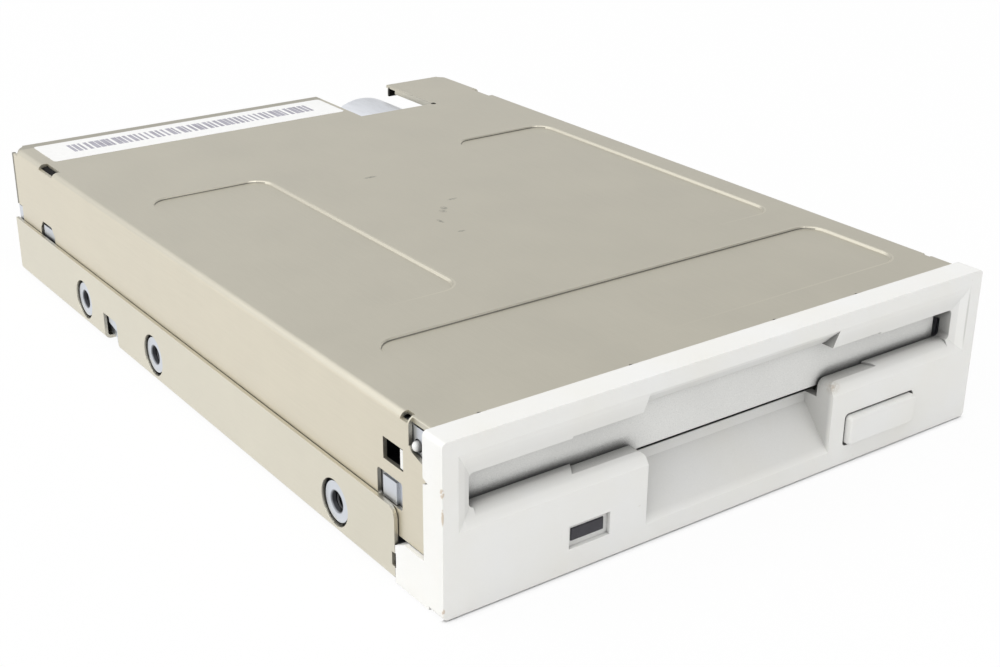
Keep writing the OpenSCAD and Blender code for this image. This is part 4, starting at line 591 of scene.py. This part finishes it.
def soften(obj, width, segments, angle):
    """Joins flat faces, rounds the edges between them and shades the rest smooth."""
    weld = obj.modifiers.new("weld", "WELD")
    weld.merge_threshold = WELD_GAP / MM
    flat = obj.modifiers.new("flat", "DECIMATE")
    flat.decimate_type = "DISSOLVE"
    flat.angle_limit = math.radians(FLAT_ANGLE)
    bevel = obj.modifiers.new("bevel", "BEVEL")
    bevel.width = width / MM
    bevel.segments = segments
    bevel.limit_method = "ANGLE"
    bevel.angle_limit = math.radians(angle)
    bevel.use_clamp_overlap = True
    even = obj.modifiers.new("even", "WEIGHTED_NORMAL")
    even.weight = 100
    for p in obj.data.polygons:
        p.use_smooth = True


for name, bevel in BEVELS.items():
    soften(nodes[name], *bevel)


# Pieces beyond the CAD model

def piece(name, bm, mat, body="frame"):
    """An object from a bmesh, riding on a body unless that is None."""
    mesh = bpy.data.meshes.new(name)
    bm.normal_update()
    bm.to_mesh(mesh)
    bm.free()
    mesh.materials.append(mat)
    obj = bpy.data.objects.new(name, mesh)
    scene.collection.objects.link(obj)
    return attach(obj, body) if body else obj


def helix(bm, start, axis, side, length, r_out=1.27, r_in=1.02, pitch=0.5, steps=28):
    """A thread's ridge inside a bore, from a start in the row frame."""
    up = axis.cross(side)
    ridge = [(r_out, -0.45 * pitch), (r_in, -0.08 * pitch), (r_in, 0.08 * pitch), (r_out, 0.45 * pitch)]
    rows = []
    n = int(length / pitch * steps)
    for i in range(n + 1):
        a = 2 * math.pi * i / steps
        radial = math.cos(a) * side + math.sin(a) * up
        mid = start + axis * (length * i / n)
        rows.append([bm.verts.new((mid + radial * r + axis * d) / MM) for r, d in ridge])
    for p, q in zip(rows, rows[1:]):
        for k in range(len(ridge) - 1):
            bm.faces.new((p[k], q[k], q[k + 1], p[k + 1])).smooth = True


# How long the threads are, and how far before their mount's point they start
SIDE_THREAD, SIDE_THREAD_BACK = 4.7, 2.2
BOTTOM_THREAD, BOTTOM_THREAD_BACK = 6.0, 2.9
threads = bmesh.new()
for mount in side_threads:
    axis = Vector(mount["axis"])
    start = Vector(mount["pos_m"]) * MM - axis * SIDE_THREAD_BACK
    helix(threads, start, axis, Vector((0, 1, 0)), SIDE_THREAD)
axis = Vector(bottom_threads["axis"])
spacing = bottom_threads["dims"]
for sx in SIDES:
    for sy in SIDES:
        shift = Vector((sx * spacing["spacing_x_mm"], sy * spacing["spacing_y_mm"], 0))
        start = Vector(bottom_threads["pos_m"]) * MM + shift / 2 - axis * BOTTOM_THREAD_BACK
        helix(threads, start, axis, Vector((1, 0, 0)), BOTTOM_THREAD)
piece("hole_threads", threads, materials["thread_metal"])


def bend_shade_strip(bm, side, x, y, z, r, thick, steps=6):
    """A black strip inside the cover's bend, across the slot there: painted shade for the dark inside."""
    turns = [math.pi / 2 * i / steps for i in range(steps + 1)]

    def face(inset):
        q = r - inset
        bend = [(x[1] - r + q * math.sin(a), z[1] - r + q * math.cos(a)) for a in turns]
        return [(x[0], z[1] - inset), *bend, (x[1] - inset, z[0])]

    outer = face(0)
    rim = outer + face(thick)[::-1]
    near, far = ([bm.verts.new(at(side * px, end, pz)) for px, pz in rim] for end in y)
    for ring, flip in ((near, side < 0), (far, side > 0)):
        for i in range(len(outer) - 1):
            quad = [ring[i], ring[i + 1], ring[-2 - i], ring[-1 - i]]
            bm.faces.new(quad if flip else quad[::-1])
    for i in range(len(rim)):
        k = (i + 1) % len(rim)
        quad = [near[i], near[k], far[k], far[i]]
        bm.faces.new(quad[::-1] if side < 0 else quad)


# black strips behind the slots in the cover's bends: painted shade
bend_strips_mesh = bmesh.new()
for s in SIDES:
    bend_shade_strip(bend_strips_mesh, s, x=(45.4, 49.35), y=(127.5, 137.6), z=(23.2, 24.58), r=0.55, thick=0.12)
piece("bend_slot_shade", bend_strips_mesh, materials["bend_shade_black"])


def coil(bm, x, y0, y1, z, r, wire=0.3, pitch=1.0, steps=16, sides=6):
    """A wound spring along Y, in the row frame, of a wire given by its radius."""
    run = y1 - y0 - 2 * wire
    n = int(run / pitch * steps)
    ahead = Vector((0, 1, 0))
    turns = [2 * math.pi * k / sides for k in range(sides)]
    rings = []
    for i in range(n + 1):
        a = 2 * math.pi * i / steps
        out = Vector((math.cos(a), 0, math.sin(a)))
        mid = Vector((x, y0 + wire + run * i / n, z)) + out * (r - wire)
        ring = [mid + (out * math.cos(b) + ahead * math.sin(b)) * wire for b in turns]
        rings.append([bm.verts.new(v / MM) for v in ring])
    for p, q in zip(rings, rings[1:]):
        for k in range(sides):
            j = (k + 1) % sides
            bm.faces.new((p[k], p[j], q[j], q[k])).smooth = True
    bm.faces.new(rings[0][::-1])
    bm.faces.new(rings[-1])


# The slide's springs, wound, between post and slide plate, in place of the CAD part
low, high = box_mm("slide_springs")
spring_r = (high.z - low.z) / 2
spring_z = (high.z + low.z) / 2
coils = bmesh.new()
for s in SIDES:
    coil(coils, s * (high.x - spring_r), low.y, high.y, spring_z, spring_r)
slide_coils = piece("slide_coils", coils, materials["coil_wire"], None)
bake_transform(slide_coils)
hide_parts("slide_springs")


def label_paper(x, y, pitch):
    """White paper with one row of plain grey bars."""
    g = Graph("label_paper", Specular_IOR_Level=0.3)
    px, py, _ = g.split(g.pos)
    step = g.calc("DIVIDE", px, pitch)
    cell = g.node("ShaderNodeTexWhiteNoise", noise_dimensions="1D")
    g.put(g.calc("FLOOR", step), cell.inputs["W"])
    width = g.span(cell.outputs["Value"], 0.0, 1.0, 0.4, 0.95)
    bar = g.under(g.calc("FRACT", step), width)
    for value, first, last in ((px, *x), (py, y[0] + FACE_Y, y[1] + FACE_Y)):
        bar = g.times(bar, g.over(value, first), g.under(value, last))
    fibre = g.noise(2.0, 3)
    paper = g.mix(g.span(fibre, 0.3, 0.7), (0.83, 0.83, 0.82), (0.87, 0.87, 0.86))
    ink = g.mix(g.span(g.noise(0.5, 2), 0.3, 0.7), (0.31, 0.30, 0.35), (0.43, 0.42, 0.48))
    g.set(Base_Color=g.mix(bar, paper, ink), Roughness=g.span(fibre, 0.3, 0.7, 0.5, 0.6))
    return g.bumped(fibre, 0.05, 0.02)


def sticker(x, y, z, thick, r, steps=5):
    """A thin sheet with round corners."""
    bm = bmesh.new()
    rim = []
    corners = ((x[1] - r, y[1] - r), (x[0] + r, y[1] - r), (x[0] + r, y[0] + r), (x[1] - r, y[0] + r))
    for quarter, (cx, cy) in enumerate(corners):
        for i in range(steps + 1):
            a = math.pi / 2 * (quarter + i / steps)
            rim.append((cx + r * math.cos(a), cy + r * math.sin(a)))
    under, over = ([bm.verts.new(at(px, py, level)) for px, py in rim] for level in (z, z + thick))
    bm.faces.new(over)
    bm.faces.new(reversed(under))
    for i in range(len(rim)):
        k = (i + 1) % len(rim)
        bm.faces.new((under[i], under[k], over[k], over[i]))
    return bm


label_sheet = sticker(x=(-46.8, 16.0), y=(135.9, 147.2), z=TOP_Z + 0.005, thick=0.06, r=0.7)
piece("label", label_sheet, label_paper(x=(-41.2, 11.0), y=(139.9, 144.7), pitch=1.15))


# Floor, light and camera

FLOOR_HALF = 8        # in metres
FLOOR_DROP = 0.0002   # the gap under the part, in metres
CONTACT_REACH = 1.6   # how near the part has to be to darken the floor
CONTACT_DEPTH = 0.6   # how far behind the bezel's face it does


def floor_material():
    """White to camera, glossy and transmitted rays, with the object's shadow, darkest where they touch."""
    mat = bpy.data.materials.new("floor")
    mat.use_nodes = True
    t = Tree(mat.node_tree)
    path = t.node("ShaderNodeLightPath").outputs
    seen = t.calc("MAXIMUM", path["Is Camera Ray"], path["Is Glossy Ray"])
    seen = t.calc("MAXIMUM", seen, path["Is Transmission Ray"])
    y = t.split(t.node("ShaderNodeTexCoord").outputs["Object"])["Y"]
    behind = t.over(y, (FACE_Y + CONTACT_DEPTH) / MM)
    clear = t.calc("MAXIMUM", t.openness(CONTACT_REACH), behind)
    speck = t.node("ShaderNodeTexNoise")
    speck.inputs["Scale"].default_value = 40
    diffuse = t.node("ShaderNodeBsdfDiffuse")
    t.put(t.mix(speck.outputs["Fac"], (0.83, 0.83, 0.83), (0.86, 0.86, 0.86)), diffuse.inputs["Color"])
    glow = t.node("ShaderNodeEmission")
    shader = t.node("ShaderNodeMixShader")
    t.put(t.times(seen, t.span(clear, 0.42, 0.8, 0.0, 0.94)), shader.inputs[0])
    t.put(diffuse.outputs[0], shader.inputs[1])
    t.put(glow.outputs[0], shader.inputs[2])
    t.put(shader.outputs[0], t.node("ShaderNodeOutputMaterial").inputs["Surface"])
    return mat


ground = bpy.data.meshes.new("floor")
corners = [(-FLOOR_HALF, -FLOOR_HALF, 0), (FLOOR_HALF, -FLOOR_HALF, 0),
           (FLOOR_HALF, FLOOR_HALF, 0), (-FLOOR_HALF, FLOOR_HALF, 0)]
ground.from_pydata(corners, [], [(0, 1, 2, 3)])
ground.materials.append(floor_material())
floor = bpy.data.objects.new("floor", ground)
floor.location.z = -FLOOR_DROP
scene.collection.objects.link(floor)


def studio(horizon, zenith, rise, card, card_level):
    """A plain pale room: brightest along the horizon, with a grey card, white where the camera sees it."""
    world = bpy.data.worlds.new("studio")
    scene.world = world
    world.use_nodes = True
    t = Tree(world.node_tree)
    way = t.node("ShaderNodeTexCoord").outputs["Generated"]
    room = t.span(t.split(way)["Z"], 0.0, rise, horizon, zenith, "SMOOTHSTEP")
    toward = t.vector_calc("DOT_PRODUCT", way, Vector(card).normalized(), "Value")
    room = t.times(room, t.span(toward, 0.72, 0.95, 1.0, card_level, "SMOOTHSTEP"))
    seen = t.node("ShaderNodeLightPath").outputs["Is Camera Ray"]
    back = t.node("ShaderNodeBackground")
    t.put(t.calc("MAXIMUM", room, seen), back.inputs["Strength"])
    t.put(back.outputs[0], t.node("ShaderNodeOutputWorld").inputs["Surface"])


def lamp(name, place, target, size, watts):
    """A soft rectangular lamp turned to its target, in metres."""
    data = bpy.data.lights.new(name, "AREA")
    data.shape = "RECTANGLE"
    data.size, data.size_y = size
    data.energy = watts
    obj = bpy.data.objects.new(name, data)
    obj.location = place
    obj.rotation_euler = (Vector(target) - Vector(place)).to_track_quat("-Z", "Y").to_euler()
    scene.collection.objects.link(obj)


studio(horizon=0.95, zenith=0.82, rise=0.45, card=(0.54, -0.40, 0.74), card_level=0.25)
lamp("key", place=(-0.7, 0.08, 1.05), target=(0, 0, 0.02), size=(3.2, 3.2), watts=31)
lamp("fill", place=(0.3, -1.1, 0.7), target=(0, 0, 0.01), size=(1.0, 0.7), watts=2.4)


def photo_camera(place, azimuth, elevation, roll, lens):
    """A camera at a place, with its angles in degrees and its lens in millimetres."""
    a, e, r = (math.radians(v) for v in (azimuth, elevation, roll))
    back = Vector((math.sin(a) * math.cos(e), -math.cos(a) * math.cos(e), math.sin(e)))
    right = Vector((math.cos(a), math.sin(a), 0))
    up = back.cross(right)
    side = math.cos(r) * right + math.sin(r) * up
    top = math.cos(r) * up - math.sin(r) * right
    data = bpy.data.cameras.new("camera")
    data.sensor_fit = "HORIZONTAL"
    data.sensor_width = 36
    data.lens = lens
    data.clip_start = 0.01
    obj = bpy.data.objects.new("camera", data)
    obj.matrix_world = Matrix.Translation(place) @ Matrix((side, top, back)).transposed().to_4x4()
    scene.collection.objects.link(obj)
    scene.camera = obj


photo_camera(at(-141.232, -135.837, 111.421), azimuth=-36.066, elevation=23.651, roll=0.461, lens=55.1147)

scene.view_settings.view_transform = "Standard"
